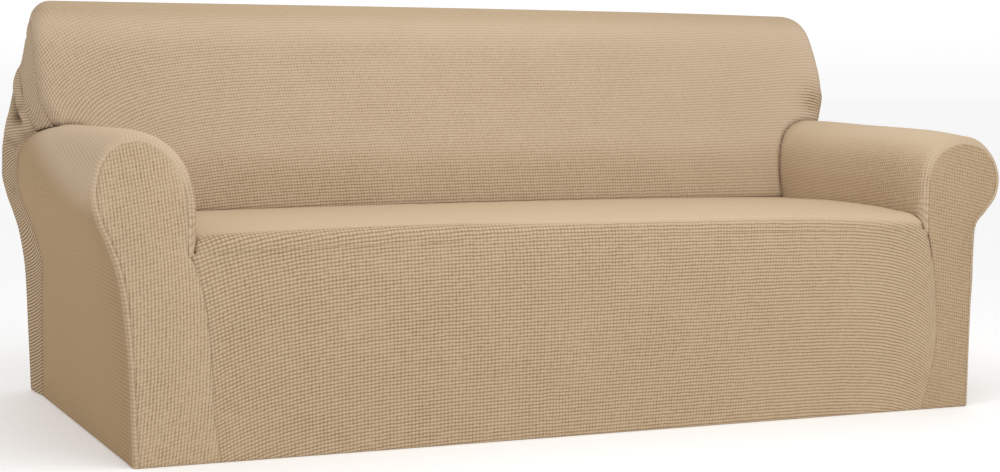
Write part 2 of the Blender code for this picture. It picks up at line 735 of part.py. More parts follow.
def cloth_object(name, grid, collection, material, facing_flipped=False):
    """One piece of cloth: an open surface of quads that Solidify thickens inwards."""
    columns = len(grid[0])
    points = [(x - ORIGIN_ACROSS, y - ORIGIN_DEPTH, z) for row in grid for x, y, z in row]
    faces = []
    for j in range(len(grid) - 1):
        for i in range(columns - 1):
            a = j * columns + i
            quad = [a, a + 1, a + 1 + columns, a + columns]
            faces.append(quad[::-1] if facing_flipped else quad)
    mesh = bpy.data.meshes.new(name)
    mesh.from_pydata(points, [], faces)
    mesh.shade_smooth()
    piece = bpy.data.objects.new(name, mesh)
    collection.objects.link(piece)
    mesh.materials.append(material)
    thicken = piece.modifiers.new("Cloth thickness", "SOLIDIFY")
    thicken.thickness = CLOTH_THICKNESS
    thicken.offset = -1
    return piece


def arm_cutter(side, collection):
    """The inside of an arm, a little larger than its sleeve, which notches the inner back."""
    rings = []
    for depth in NOTCH_DEPTHS:
        points = arm_points(side, depth)
        places = [place for place in divide(ARM_SECTION) if 0 < place <= WIDEST]
        ring = [(SEAT_HALF_WIDTH - CREASE_GAP, NOTCH_FLOOR)]
        for place in places:
            across, height = follow(points, place)
            right, up = along_normal(points, place)
            ring.append((across - right * CREASE_GAP, height - up * CREASE_GAP))
        ring.append((ring[-1][0], NOTCH_FLOOR))
        rings.append([
            (side * across - ORIGIN_ACROSS, depth - ORIGIN_DEPTH, height) for across, height in ring
        ])
    mesh = bpy.data.meshes.new("arm notch")
    count = len(rings[0])
    points = [point for ring in rings for point in ring]
    faces = [list(range(count)), list(range(len(points) - count, len(points)))]
    for start in range(0, len(points) - count, count):
        for k in range(count):
            turn = (k + 1) % count
            faces.append([start + k, start + turn, start + count + turn, start + count + k])
    mesh.from_pydata(points, [], faces)
    shape = bmesh.new()
    shape.from_mesh(mesh)
    bmesh.ops.recalc_face_normals(shape, faces=shape.faces)
    shape.to_mesh(mesh)
    shape.free()
    cutter = bpy.data.objects.new("arm notch", mesh)
    collection.objects.link(cutter)
    cutter.hide_render = True
    cutter.display_type = "WIRE"
    return cutter


def knit_material(name):
    material = bpy.data.materials.new(name)
    material.use_nodes = True
    shader = material.node_tree.nodes["Principled BSDF"]
    shader.inputs["Base Color"].default_value = KNIT_COLOUR
    shader.inputs["Roughness"].default_value = KNIT_ROUGHNESS
    shader.inputs["Metallic"].default_value = 0.0
    return material


def new_collection(name):
    collection = bpy.data.collections.new(name)
    bpy.context.scene.collection.children.link(collection)
    return collection


def main():
    for old in list(bpy.context.scene.objects):
        bpy.data.objects.remove(old, do_unlink=True)
    cover = new_collection("sofa slipcover")
    cutters = new_collection("cutters")

    def add(name, grid, edges, flipped):
        return cloth_object(name, drawn_in(grid, edges), cover, knit_material(name + " knit"), flipped)

    add("seat_apron", seat_apron(), ["first column", "last column"], False)
    back = add("inner_back", inner_back(), ["last row", "first column", "last column"], False)
    for side in (LEFT, RIGHT):
        notch = back.modifiers.new("Arm notch", "BOOLEAN")
        notch.operation = "DIFFERENCE"
        notch.object = arm_cutter(side, cutters)
    add("outer_back", outer_back(), ["last row", "first column", "last column"], True)
    for side, word in ((LEFT, "left"), (RIGHT, "right")):
        mirrored = side == RIGHT
        add("arm_sleeve_" + word, arm_sleeve(side), ["first row", "last row"], not mirrored)
        add("arm_front_" + word, arm_front(side), ["first column", "last column", "last row"], not mirrored)
        add("back_end_" + word, back_end(side), ["first column", "last column", "last row"], not mirrored)


main()
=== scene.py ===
"""Look of a hollow fitted stretch slipcover with a seat, a back and rolled arms.

Each piece of cloth is a thin sheet on the folds of its solid, with the knit, the seams, the tucks
and the finer creases on it. Up to the last step a depth is counted from the arm fronts.
"""

import math
from collections import namedtuple

import bpy
import numpy as np
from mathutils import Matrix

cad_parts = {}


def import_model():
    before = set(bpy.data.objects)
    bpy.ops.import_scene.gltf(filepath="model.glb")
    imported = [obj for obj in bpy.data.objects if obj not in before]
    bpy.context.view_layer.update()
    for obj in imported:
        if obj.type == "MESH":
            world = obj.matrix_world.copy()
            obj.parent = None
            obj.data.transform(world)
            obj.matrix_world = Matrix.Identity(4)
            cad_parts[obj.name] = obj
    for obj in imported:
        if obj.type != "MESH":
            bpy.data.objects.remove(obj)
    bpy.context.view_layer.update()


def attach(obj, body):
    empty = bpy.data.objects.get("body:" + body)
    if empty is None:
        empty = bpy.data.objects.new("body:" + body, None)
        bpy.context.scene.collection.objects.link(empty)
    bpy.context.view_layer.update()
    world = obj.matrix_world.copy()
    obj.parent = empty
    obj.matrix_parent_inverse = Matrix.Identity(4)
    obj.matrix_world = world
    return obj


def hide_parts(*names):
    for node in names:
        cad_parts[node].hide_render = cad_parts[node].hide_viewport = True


# Sizes of the cover, metres
CLOTH = 0.002  # thickness
TUCK = 0.008  # how far an edge runs on into the crease that it meets
SEAM_GAP = 0.0004  # between two pieces that are sewn together
SEAT_HALF = 0.862  # from the middle to an inner arm
SHOULDER = 0.018  # the sleeve rounds over the arm's front edge within this depth
BACK_AT_ARM = 0.69  # depth at which the back comes down on the arms
HEM_RADIUS = 0.006
HEM_TURN = 0.014  # from the wall to the edge of the turned cloth
HEM_LIP = 0.0008  # flat stretch of the hem beside its bend
HEM_MITRE = 0.050  # the hem opens to its full turn within this distance of a corner
CORNER_BEND = 0.0035  # bend of the hem at a corner
HEM_ANGLES = np.radians([90, 72, 54, 36, 18])
HEM_ROWS = len(HEM_ANGLES) + 2
HEM_LEAST = 0.25  # share of its turn that the hem keeps at a corner
BACK_TUCK = 0.006  # how far the back runs on behind an arm
END_FLAT = 0.006  # flat stretch beyond a rounded edge of the back
FRONT_FLAT = 0.0015  # flat stretch beyond a rounded edge of an arm
FACE_CROWN = 0.012  # how far the back's face stands out at its middle
FRONT_DOME = 0.006  # how far an arm's front stands out at its middle
ORIGIN_ACROSS = 0.001
ORIGIN_DEPTH = 0.569

LEFT = -1
RIGHT = 1
SIDES = (LEFT, RIGHT)
WORD = {LEFT: "left", RIGHT: "right"}


def table(columns, *rows):
    """Rows of values that are read by the names of their columns."""
    kind = namedtuple("Row", columns)
    return [kind(*row) for row in rows]


# Section of an arm, from the seat crease up the inner wall, over the roll and down to the hem.
ARM_SECTION = table(
    "name left_across left_height right_across right_height inset rear",
    ("seat line", 0.862, 0.460, 0.862, 0.460, 0.018, 0.0),
    ("inner wall", 0.862, 0.505, 0.862, 0.502, 0.018, 0.0),
    ("inner rise", 0.865, 0.545, 0.864, 0.545, 0.018, 0.0),
    ("inner roll", 0.880, 0.597, 0.876, 0.593, 0.018, 0.0),
    ("inner crown", 0.914, 0.641, 0.906, 0.630, 0.018, 0.0),
    ("crown", 0.966, 0.669, 0.958, 0.652, 0.018, 0.0),
    ("outer crown", 1.014, 0.664, 1.010, 0.648, 0.016, 0.706),
    ("gusset foot", 1.036, 0.651, 1.034, 0.636, 0.014, 0.845),
    ("tent foot", 1.051, 0.635, 1.051, 0.621, 0.012, 0.889),
    ("outer roll", 1.067, 0.603, 1.072, 0.590, 0.010, 0.880),
    ("widest", 1.0765, 0.550, 1.083, 0.545, 0.010, 0.848),
    ("under roll", 1.066, 0.498, 1.074, 0.499, 0.010, 0.862),
    ("tuck", 1.048, 0.455, 1.044, 0.460, 0.010, 0.880),
    ("undercut", 1.030, 0.405, 1.021, 0.434, 0.010, 0.884),
    ("below", 1.017, 0.345, 1.015, 0.400, 0.010, 0.884),
    ("side high", 1.009, 0.260, 1.012, 0.300, 0.010, 0.940),
    ("side middle", 1.004, 0.150, 1.008, 0.170, 0.010, 0.972),
    ("side low", 1.001, 0.045, 1.005, 0.045, 0.010, 0.995),
    ("hem", 1.000, HEM_RADIUS, 1.004, HEM_RADIUS, 0.010, 1.000),
)
ARM_PLACES = [row.name for row in ARM_SECTION]
INNER_CROWN, OUTER_CROWN, GUSSET_FOOT, ARM_HEM = (
    ARM_PLACES.index(name) for name in ("inner crown", "outer crown", "gusset foot", "hem")
)
# Rows of a solid between one place of a line and the next
ARM_STEPS = [2, 2, 2, 3, 3, 3, 1, 1, 2, 3, 3, 2, 2, 1, 2, 2, 2, 1]

ARM_RISE = table(
    "depth left right",
    (0.00, 0.000, -0.012), (0.15, 0.004, 0.000), (0.42, 0.003, 0.007),
    (0.66, 0.002, 0.013), (0.99, -0.006, 0.010),
)
RISE_FROM, RISE_FULL = 0.45, 0.65  # heights between which the roll takes its rise

APRON_SEAM = table(
    "height left right",
    (0.000, 0.819, 0.868), (0.050, 0.827, 0.884), (0.100, 0.833, 0.899),
    (0.180, 0.836, 0.909), (0.250, 0.840, 0.907), (0.300, 0.845, 0.903),
    (0.360, 0.857, 0.894), (0.400, 0.868, 0.886), (0.425, 0.880, 0.880),
)
APRON_TOP = 0.425
APRON_SWELL = table(
    "height depth",
    (0.000, 0.000), (0.110, -0.004), (0.220, -0.010),
    (0.320, -0.012), (0.395, -0.009), (0.425, -0.004),
)
SEAT_LINE = table(
    "depth height side_depth side_height",
    (-0.004, 0.432, 0.000, 0.425), (0.005, 0.454, 0.006, 0.447),
    (0.022, 0.465, 0.024, 0.459), (0.065, 0.469, 0.065, 0.464),
    (0.200, 0.4715, 0.200, 0.4715), (0.380, 0.4745, 0.380, 0.4735),
    (0.520, 0.4755, 0.520, 0.4700), (0.6245, 0.4755, 0.6225, 0.4680),
)
SEAT_FLATNESS = 3  # how far out the seat keeps its middle's line, as a power

# The inner back in side view, from the seat crease up its face and over the top.
BACK_LINE = table(
    "depth height left right radius",
    (0.623, 0.462, 1.006, 1.015, 0.022), (0.637, 0.530, 1.006, 1.015, 0.022),
    (0.655, 0.600, 1.006, 1.015, 0.022), (0.690, 0.662, 1.006, 1.015, 0.022),
    (0.725, 0.730, 1.036, 1.050, 0.022), (0.752, 0.790, 1.043, 1.056, 0.022),
    (0.777, 0.845, 1.043, 1.056, 0.022), (0.798, 0.890, 1.040, 1.055, 0.025),
    (0.814, 0.920, 1.037, 1.054, 0.032), (0.838, 0.944, 1.035, 1.052, 0.040),
    (0.872, 0.9565, 1.031, 1.050, 0.045), (0.918, 0.9575, 1.028, 1.048, 0.045),
    (0.955, 0.948, 1.025, 1.046, 0.041), (0.980, 0.922, 1.026, 1.045, 0.036),
    (0.990, 0.880, 1.032, 1.047, 0.034),
)
ARM_TOP, FACE_MIDDLE, TOP_FRONT, TOP_REAR, REAR_SEAM = 3, 5, 9, 13, 14  # rows of the back's line
BACK_STEPS = [1, 2, 2, 2, 2, 2, 1, 1, 1, 1, 3, 1, 1, 1]

TOP_DROOP = table("across rise", (-1.05, 0.002), (0.0, -0.001), (0.6, -0.005), (1.05, -0.012))
DROOP_FROM, DROOP_FULL = 0.80, 0.957  # heights between which the back takes its droop

REAR_LINE = table(
    "height depth corner left right",
    (0.000, 1.150, 0.036, 1.008, 1.006), (0.150, 1.147, 0.040, 1.013, 1.011),
    (0.300, 1.140, 0.048, 1.020, 1.016), (0.400, 1.131, 0.058, 1.036, 1.024),
    (0.450, 1.125, 0.066, 1.052, 1.042), (0.500, 1.120, 0.074, 1.070, 1.071),
    (0.550, 1.113, 0.080, 1.081, 1.082), (0.600, 1.106, 0.082, 1.081, 1.080),
    (0.650, 1.092, 0.078, 1.077, 1.073), (0.700, 1.068, 0.068, 1.067, 1.065),
    (0.750, 1.045, 0.056, 1.058, 1.058), (0.790, 1.026, 0.044, 1.0515, 1.054),
    (0.815, 1.014, 0.038, 1.041, 1.051), (0.880, 0.990, 0.034, 1.032, 1.047),
)
TENT_SEAM = [(1.046, 0.885, 0.700), (1.050, 0.930, 0.750)]
TENT_TOP = 0.800
TENT_ROWS, GUSSET_REAR_ROWS = 5, 3

# Folds of the solids where the cloth of the arm is drawn up to the back's end, in side view.
FOLD = "depth height end_depth end_height half_width rise"
MAIN_FOLDS = {
    LEFT: table(
        FOLD,
        (1.005, 0.790, 0.885, 0.666, 0.022, 0.004),
        (0.972, 0.724, 0.948, 0.682, 0.018, -0.012),
        (0.915, 0.640, 0.850, 0.655, 0.016, -0.006),
    ),
    RIGHT: table(
        FOLD,
        (0.995, 0.785, 0.880, 0.672, 0.024, 0.006),
        (0.950, 0.705, 0.930, 0.672, 0.022, -0.010),
    ),
}
FINE = 4  # rows and columns of a sheet for each one of its solid


# ---- curves

def mix(first, second, share):
    return first + (second - first) * share


def ease(share, over=1.0):
    """A smooth step from 0 to 1 while a share goes from 0 to over."""
    share = np.clip(share / over, 0.0, 1.0)
    return share * share * (3 - 2 * share)


def ramp(value, low, high):
    return np.clip((value - low) / (high - low), 0, 1)


def fade(distance, reach):
    return np.exp(-distance / reach)


def bell(distance, reach):
    return np.exp(-(distance / reach) ** 2)


def hermite(start, end, start_slope, end_slope, length, share):
    square, cube = share * share, share ** 3
    return (
        start * (2 * cube - 3 * square + 1) + start_slope * length * (cube - 2 * square + share)
        + end * (3 * square - 2 * cube) + end_slope * length * (cube - square)
    )


class Column:
    """One column of a table, on a smooth curve over a station that never overshoots a row."""

    def __init__(self, table, station, column):
        self.stations = np.array([getattr(row, station) for row in table])
        self.values = np.array([getattr(row, column) for row in table])
        rise = np.diff(self.values) / np.diff(self.stations)
        slopes = np.concatenate([rise[:1], np.zeros(len(rise) - 1), rise[-1:]])
        for i in range(1, len(rise)):
            if rise[i - 1] * rise[i] > 0:
                slopes[i] = 2 * rise[i - 1] * rise[i] / (rise[i - 1] + rise[i])
        self.slopes = slopes

    def at(self, station):
        station = np.clip(station, self.stations[0], self.stations[-1])
        i = np.searchsorted(self.stations, station, side="right") - 1
        i = np.clip(i, 0, len(self.stations) - 2)
        length = self.stations[i + 1] - self.stations[i]
        ends = (self.values[i], self.values[i + 1], self.slopes[i], self.slopes[i + 1])
        return hermite(*ends, length, (station - self.stations[i]) / length)


class Line:
    """A smooth line through points, read at a place counted in points from the first."""

    def __init__(self, points):
        self.points = np.array(points, dtype=float)
        last = len(points) - 1
        self.lengths = np.linalg.norm(np.diff(self.points, axis=0), axis=1)
        self.slopes = np.zeros_like(self.points)
        for k in range(last + 1):
            low, high = max(k - 1, 0), min(k + 1, last)
            self.slopes[k] = (self.points[high] - self.points[low]) / self.lengths[low:high].sum()

    def at(self, place):
        place = np.asarray(place, dtype=float)
        i = np.clip(place.astype(int), 0, len(self.points) - 2)
        ends = (self.points[i], self.points[i + 1], self.slopes[i], self.slopes[i + 1])
        points = hermite(*ends, self.lengths[i][..., None], (place - i)[..., None])
        return np.moveaxis(points, -1, 0)

    def normal(self, place):
        """Unit normal of a line in a plane, on its right-hand side."""
        last = len(self.points) - 1
        low, high = (
            self.at(np.clip(np.asarray(place, dtype=float) + step, 0, last)) for step in (-0.01, 0.01)
        )
        run, rise = high - low
        length = np.hypot(run, rise)
        return rise / length, -run / length


def between(table, name, place):
    """A column of a table at places between its rows, on straight lines."""
    return np.interp(place, np.arange(len(table)), [getattr(row, name) for row in table])


def divide(steps, first=0, last=None, fine=FINE):
    """Places along a table, with each stretch divided by its steps."""
    last = len(steps) if last is None else last
    places = [i + k / (steps[i] * fine) for i in range(first, last) for k in range(steps[i] * fine)]
    return np.array(places + [float(last)])


def crowded(count, closeness):
    """Shares from 0 to 1 that lie closer together towards both ends."""
    share = np.linspace(0, 1, count + 1)
    return mix(share, (1 - np.cos(np.pi * share)) / 2, closeness)


ARM_LINE = {
    LEFT: Line([(row.left_across, row.left_height) for row in ARM_SECTION]),
    RIGHT: Line([(row.right_across, row.right_height) for row in ARM_SECTION]),
}


def joined(*parts):
    """Points, or places on a weave map, from their coordinates."""
    return np.stack(np.broadcast_arrays(*parts), axis=-1)


def both_sides(rows, station):
    return {side: Column(rows, station, WORD[side]) for side in SIDES}


RISE = both_sides(ARM_RISE, "depth")
SEAM_ACROSS = both_sides(APRON_SEAM, "height")
SEAT_SIDE = Column(SEAT_LINE, "side_depth", "side_height")
SEAT_MIDDLE = Line([(row.depth, row.height) for row in SEAT_LINE])
SEAT_EDGE = Line([(row.side_depth, row.side_height) for row in SEAT_LINE])
SWELL = Column(APRON_SWELL, "height", "depth")
BACK_PROFILE = Line([(row.depth, row.height) for row in BACK_LINE])
FACE_DEPTH = Column(BACK_LINE[:TOP_FRONT], "height", "depth")
DROOP = Column(TOP_DROOP, "across", "rise")
REAR_DEPTH = Column(REAR_LINE, "height", "depth")
REAR_CORNER = Column(REAR_LINE, "height", "corner")
REAR_HALF = both_sides(REAR_LINE, "height")


# ---- the shape of the cover

def fold_share(fold, depth, height):
    """Place along a fold's line in side view, from 0 to 1 between its ends."""
    run, climb = fold.end_depth - fold.depth, fold.end_height - fold.height
    return ((depth - fold.depth) * run + (height - fold.height) * climb) / (run * run + climb * climb)


def fold_rise(fold, depth, height):
    share = np.clip(fold_share(fold, depth, height), 0.0, 1.0)
    away = np.hypot(
        depth - mix(fold.depth, fold.end_depth, share), height - mix(fold.height, fold.end_height, share)
    )
    return fold.rise * bell(away, fold.half_width)


def main_fold_rise(side, depth, height):
    return sum(fold_rise(fold, depth, height) for fold in MAIN_FOLDS[side])


def pushed_out(side, points, sense=1):
    """Points (across, depth, height) of one side moved outwards by the main folds, or back."""
    moved = np.array(points, dtype=float)
    moved[..., 0] += side * sense * main_fold_rise(side, moved[..., 1], moved[..., 2])
    return moved


def arm_lift(side, level, depth):
    """How far the roll of an arm lies over its section, at a height and a depth."""
    return RISE[side].at(depth) * ramp(level, RISE_FROM, RISE_FULL)


def arm_surface(side, place, depth, folds=True):
    """Points of the sleeve's outer face."""
    across, level = ARM_LINE[side].at(place)
    foot = np.clip(1 - place, 0, 1)
    height = level + arm_lift(side, level, depth)
    height = height + (SEAT_SIDE.at(depth) - ARM_SECTION[0].left_height) * foot
    points = joined(side * across, depth, height)
    return pushed_out(side, points) if folds else points


def shoulder_points(side, place, angle):
    """Points where the sleeve rounds over the front edge; an angle of -1 is the front seam."""
    turn = np.radians(np.maximum(angle, 0))
    depth = SHOULDER * (1 - np.cos(turn)) + 0 * place
    points = arm_surface(side, place, depth, folds=False)
    right, up = ARM_LINE[side].normal(place)
    right = np.where(place <= 0, 1.0, right)
    up = np.where(place <= 0, 0.0, up)
    inset = between(ARM_SECTION, "inset", place) * (1 - np.sin(turn))
    inset = inset + FRONT_FLAT * np.maximum(-angle, 0)
    points[..., 0] += side * right * inset
    points[..., 2] += up * inset
    return points


def sleeve_rear(side, place):
    _, height = ARM_LINE[side].at(place)
    tucked = FACE_DEPTH.at(height + RISE[side].at(BACK_AT_ARM)) + BACK_TUCK
    return np.where(place < OUTER_CROWN, tucked, between(ARM_SECTION, "rear", place))


def hem_rows(wall, inward, turned):
    """The hem below a line of wall points, from the edge of the turned cloth up to the wall."""
    inward = np.broadcast_to(inward, (len(wall), 2)).T
    turned = np.broadcast_to(turned, len(wall))
    bend = mix(CORNER_BEND, HEM_RADIUS, turned)
    rows = [(bend + (HEM_TURN - HEM_RADIUS) * np.maximum(turned, HEM_LEAST), 0.0), (bend + HEM_LIP, 0.0)]
    for angle in HEM_ANGLES:
        rows.append((bend * (1 - math.cos(angle)), HEM_RADIUS * (1 - math.sin(angle))))
    across, depth, _ = wall.T
    return [joined(across + inward[0] * reach, depth + inward[1] * reach, level) for reach, level in rows]


SHOULDER_ANGLES = np.array([-1, -0.5, 0, 12, 24, 36, 48, 60, 72, 81, 90])
SLEEVE_ROWS = 84


def arm_sleeve(side):
    """Rows run from the front seam to the rear edge, columns from the seat crease to the hem."""
    places = divide(ARM_STEPS, fine=3)
    rows = []
    for angle in SHOULDER_ANGLES:
        wall = shoulder_points(side, places, angle)
        turn = math.radians(max(angle, 0))
        rows.append(with_arm_hem(wall, (-side * math.sin(turn), math.cos(turn)), 0.0))
    for share in np.linspace(0, 1, SLEEVE_ROWS + 1)[1:]:
        depth = mix(SHOULDER, sleeve_rear(side, places), share)
        wall = arm_surface(side, places, depth)
        turned = min(1.0, (wall[-1, 1] - SHOULDER) / HEM_MITRE)
        rows.append(with_arm_hem(wall, (-side, 0.0), turned))
    grid = np.array(rows)
    foot = grid[:, :1].copy()
    foot[..., 2] -= TUCK
    return np.concatenate([foot, grid], axis=1)


def with_arm_hem(wall, inward, turned):
    hem = hem_rows(wall[-1:], inward, turned)
    return np.concatenate([wall] + hem[::-1])


def coons(bottom, top, left, right):
    """Grid of points spanned by four edge lines; rows run from the bottom to the top."""
    bottom, top, left, right = (np.asarray(line, dtype=float) for line in (bottom, top, left, right))
    v = np.linspace(0, 1, len(left))[:, None, None]
    u = np.linspace(0, 1, len(bottom))[None, :, None]
    corners = mix(mix(bottom[0], bottom[-1], u), mix(top[0], top[-1], u), v)
    return mix(left[:, None], right[:, None], u) + mix(bottom[None], top[None], v) - corners


def seam_points(side, heights):
    return joined(side * SEAM_ACROSS[side].at(heights), 0.0, heights)


def apron_heights():
    count = (sum(ARM_STEPS[OUTER_CROWN:]) - sum(ARM_STEPS[:INNER_CROWN])) * FINE
    return np.linspace(HEM_RADIUS, APRON_TOP, count + 1)


def front_ring(side, first, last):
    return shoulder_points(side, divide(ARM_STEPS, first, last), -1)


def arm_front(side):
    """Rows run from the hem to the top of the scroll, columns from the inner to the outer edge."""
    outer = front_ring(side, OUTER_CROWN, ARM_HEM)[::-1]
    inner = np.concatenate([seam_points(side, apron_heights())[:-1], front_ring(side, 0, INNER_CROWN)])
    top = front_ring(side, INNER_CROWN, OUTER_CROWN)
    columns = len(top) - 1
    share = np.linspace(0, 1, columns + 1)[:, None]
    grid = coons(mix(inner[0], outer[0], share), top, inner, outer)
    v = np.linspace(0, 1, len(grid))[:, None]
    u = np.linspace(0, 1, columns + 1)[None]
    grid[..., 1] -= FRONT_DOME * np.sin(np.pi * u) ** 2 * np.sin(np.pi * np.minimum(v + 0.02, 1)) ** 2
    turned = np.clip(np.abs(grid[0, :, 0] - outer[0][0]) / HEM_MITRE, 0, 1)
    return np.concatenate([hem_rows(grid[0], (0.0, 1.0), turned), grid])


def seat_edge_across(side, depth, height):
    reach = np.clip(1 - (depth + CLOTH) / SHOULDER, 0, 1)
    shoulder = ARM_SECTION[0].inset * (1 - np.sqrt(1 - reach * reach))
    return np.where(height <= APRON_TOP, SEAM_ACROSS[side].at(height), SEAT_HALF - SEAM_GAP + shoulder)


def seat_row(centre, edge, shares):
    ends = [float(seat_edge_across(side, *edge)) for side in SIDES]
    across = shares * np.where(shares < 0, ends[0], ends[1])
    weight = np.abs(shares) ** SEAT_FLATNESS
    return joined(across, mix(centre[0], edge[0], weight), mix(centre[1], edge[1], weight))


SEAT_SHARES = 2 * crowded(168, 0.6) - 1
SEAT_PLACES = np.concatenate([[0.06, 0.12], np.linspace(0.2, 3, 17), np.linspace(3, 7, 48)[1:]])
APRON_ROWS = 56


def seat_apron():
    """Rows run from the hem up the apron and back over the seat, columns from left to right."""
    rows = []
    for height in np.linspace(HEM_RADIUS, APRON_TOP, APRON_ROWS):
        lift = (SEAT_LINE[0].height - APRON_TOP) * (height - HEM_RADIUS) / (APRON_TOP - HEM_RADIUS)
        rows.append(seat_row((float(SWELL.at(height)), height + lift), (0.0, height), SEAT_SHARES))
    for place in SEAT_PLACES:
        rows.append(seat_row(SEAT_MIDDLE.at(place), SEAT_EDGE.at(place), SEAT_SHARES))
    grid = np.array(rows)
    across, level = grid[-1, :, 0], grid[-1, :, 2]
    grid[-1, :, 1] = FACE_DEPTH.at(level) - face_swell(across, level) - SEAM_GAP
    return np.concatenate([hem_rows(grid[0], (0.0, 1.0), 1.0), grid])


def top_droop(across, height):
    return ramp(height, DROOP_FROM, DROOP_FULL) * DROOP.at(across)


def face_swell(across, height):
    upward = np.sin(np.pi * ramp(height, BACK_LINE[0].height, BACK_LINE[TOP_FRONT].height))
    return FACE_CROWN * upward * np.maximum(0.0, 1 - (across / SEAT_HALF) ** 2)


def back_points(side, place, share, angle):
    """Points of the inner back, at an angle in degrees around its rounded end, or at END_EDGE."""
    place = np.asarray(place, dtype=float)
    depth, height = BACK_PROFILE.at(place)
    inward = BACK_PROFILE.normal(place)
    radius = between(BACK_LINE, "radius", place)
    half = between(BACK_LINE, WORD[side], place)
    turn = np.radians(np.minimum(angle, 90))
    across = side * (share * (half - radius) + radius * np.sin(turn))
    drop = radius * (1 - np.cos(turn)) + END_FLAT * np.clip(np.asarray(angle) - 90, 0, 1)
    return joined(
        across,
        depth + inward[0] * drop - face_swell(across, height) * (place < TOP_FRONT),
        height + inward[1] * drop + top_droop(across, height),
    )


SECTION_READINGS, FACE_READINGS, ROLL_READINGS = 500, 600, 160


def arm_top_height(side, across, depth):
    """Height of the arm's inner wall and roll over a distance from the middle."""
    line, levels = ARM_LINE[side].at(np.linspace(0, ARM_HEM, SECTION_READINGS))
    peak = int(np.argmax(line))
    level = np.interp(across, line[:peak], levels[:peak])
    return np.where(across < SEAT_HALF, 0.0, level + arm_lift(side, level, depth))


BACK_ROWS = divide(BACK_STEPS)
END_EDGE = 91  # stands for the edge of the flat stretch beyond the rounding
END_ANGLES = [8, 16, 25, 35, 45, 55, 65, 75, 83, 90, END_EDGE]


def back_foot(side, share, angle, tuck=0.0):
    """Place at which a column of the inner back comes down to the arm, or runs on into its crease."""
    places = np.linspace(0, FACE_MIDDLE, FACE_READINGS)
    points = back_points(side, places, share, angle)
    below = points[:, 2] < arm_top_height(side, np.abs(points[:, 0]) - tuck, BACK_AT_ARM) - tuck
    return places[np.nonzero(below)[0][-1]] if below.any() else 0.0


FOOT_BLEND = 0.08  # of a row of the back's table
FOOT_SPREAD = 0.01


def back_column_places(side, share, angle):
    """Places of the rows in a column; rows below its foot are gathered just above the foot."""
    foot = back_foot(side, share, angle, BACK_TUCK)
    if foot == 0.0:
        return BACK_ROWS
    gathered = foot + FOOT_BLEND * np.logaddexp(0.0, (BACK_ROWS - foot) / FOOT_BLEND)
    gathered = gathered + FOOT_SPREAD * BACK_ROWS * (1 - BACK_ROWS / FACE_MIDDLE)
    return np.where(BACK_ROWS < FACE_MIDDLE, gathered, BACK_ROWS)


BACK_SHARES = np.concatenate([
    np.linspace(0, 0.84, 42), np.linspace(0.84, 0.93, 25)[1:], np.linspace(0.93, 1.0, 12)[1:],
])


def inner_back():
    """Rows run from the crease up the face and over the top, columns from left to right.

    The second grid holds the place of each point along the back's side view.
    """
    columns, places = {}, {}
    for side in SIDES:
        ends = [(share, 0) for share in BACK_SHARES] + [(1, angle) for angle in END_ANGLES]
        places[side] = [back_column_places(side, *end) for end in ends]
        columns[side] = [back_points(side, at, *end) for at, end in zip(places[side], ends)]
    grid = np.stack(columns[LEFT][::-1] + columns[RIGHT][1:], axis=1)
    return grid, np.stack(places[LEFT][::-1] + places[RIGHT][1:], axis=1)


def gusset_side(side, height):
    depth = REAR_DEPTH.at(height) - REAR_CORNER.at(height) - END_FLAT
    return pushed_out(side, joined(side * REAR_HALF[side].at(height), depth, height))


def tent_points(side):
    foot = arm_surface(side, np.array(float(GUSSET_FOOT)), ARM_SECTION[GUSSET_FOOT].rear)
    middle = [pushed_out(side, (side * across, depth, height)) for across, depth, height in TENT_SEAM]
    line = Line([foot] + middle + [gusset_side(side, np.array(TENT_TOP))])
    return line.at(np.linspace(0, len(TENT_SEAM) + 1, TENT_ROWS * FINE + 1)).T


def gusset_rear_points(side):
    end = back_points(side, REAR_SEAM, 1, END_EDGE)
    start = gusset_side(side, np.array(TENT_TOP))
    share = np.linspace(0, 1, GUSSET_REAR_ROWS * FINE + 1)[1:]
    straight = gusset_side(side, mix(TENT_TOP, end[2], share))
    closing = mix(start[None], end[None], share[:, None])
    return mix(straight, closing, ease(share)[:, None])


def back_end(side):
    """Rows run from the arm top to the top of the back, columns from the front to the rear edge."""
    front_places = divide(BACK_STEPS, ARM_TOP, TOP_FRONT)
    foot = back_foot(side, 1, END_EDGE)
    front_places[front_places < foot] = foot
    front = back_points(side, front_places, 1, END_EDGE)
    top = back_points(side, divide(BACK_STEPS, TOP_FRONT, TOP_REAR), 1, END_EDGE)
    over = back_points(side, divide(BACK_STEPS, TOP_REAR), 1, END_EDGE)
    rear = np.concatenate([tent_points(side), gusset_rear_points(side)[:-1], over[::-1]])
    front = resampled(front, len(rear))
    share = np.linspace(0, 1, len(top))
    bottom = mix(front[0][None], rear[0][None], share[:, None])
    bottom[1:-1, 2] = arm_top_height(side, np.abs(bottom[1:-1, 0]) - CLOTH, bottom[1:-1, 1])
    edges = [pushed_out(side, line, -1) for line in (bottom, top, front, rear)]
    return pushed_out(side, coons(*edges))


def resampled(points, count):
    """The same line with another number of evenly spaced points."""
    lengths = np.concatenate([[0], np.cumsum(np.linalg.norm(np.diff(points, axis=0), axis=1))])
    at = np.linspace(0, lengths[-1], count)
    return np.stack([np.interp(at, lengths, points[:, n]) for n in range(3)], axis=-1)


def outer_side_points(side):
    places = divide(ARM_STEPS, GUSSET_FOOT)[::-1]
    lower = arm_surface(side, places, sleeve_rear(side, places))
    return np.concatenate([lower, tent_points(side)[1:], gusset_rear_points(side)])


RETURN_SHARES = np.linspace(0, 1, 15)[:-1]
CORNER_TURNS = np.linspace(0, 90, 13)
REAR_SHARES = np.linspace(0, 1, 71)[1:-1]


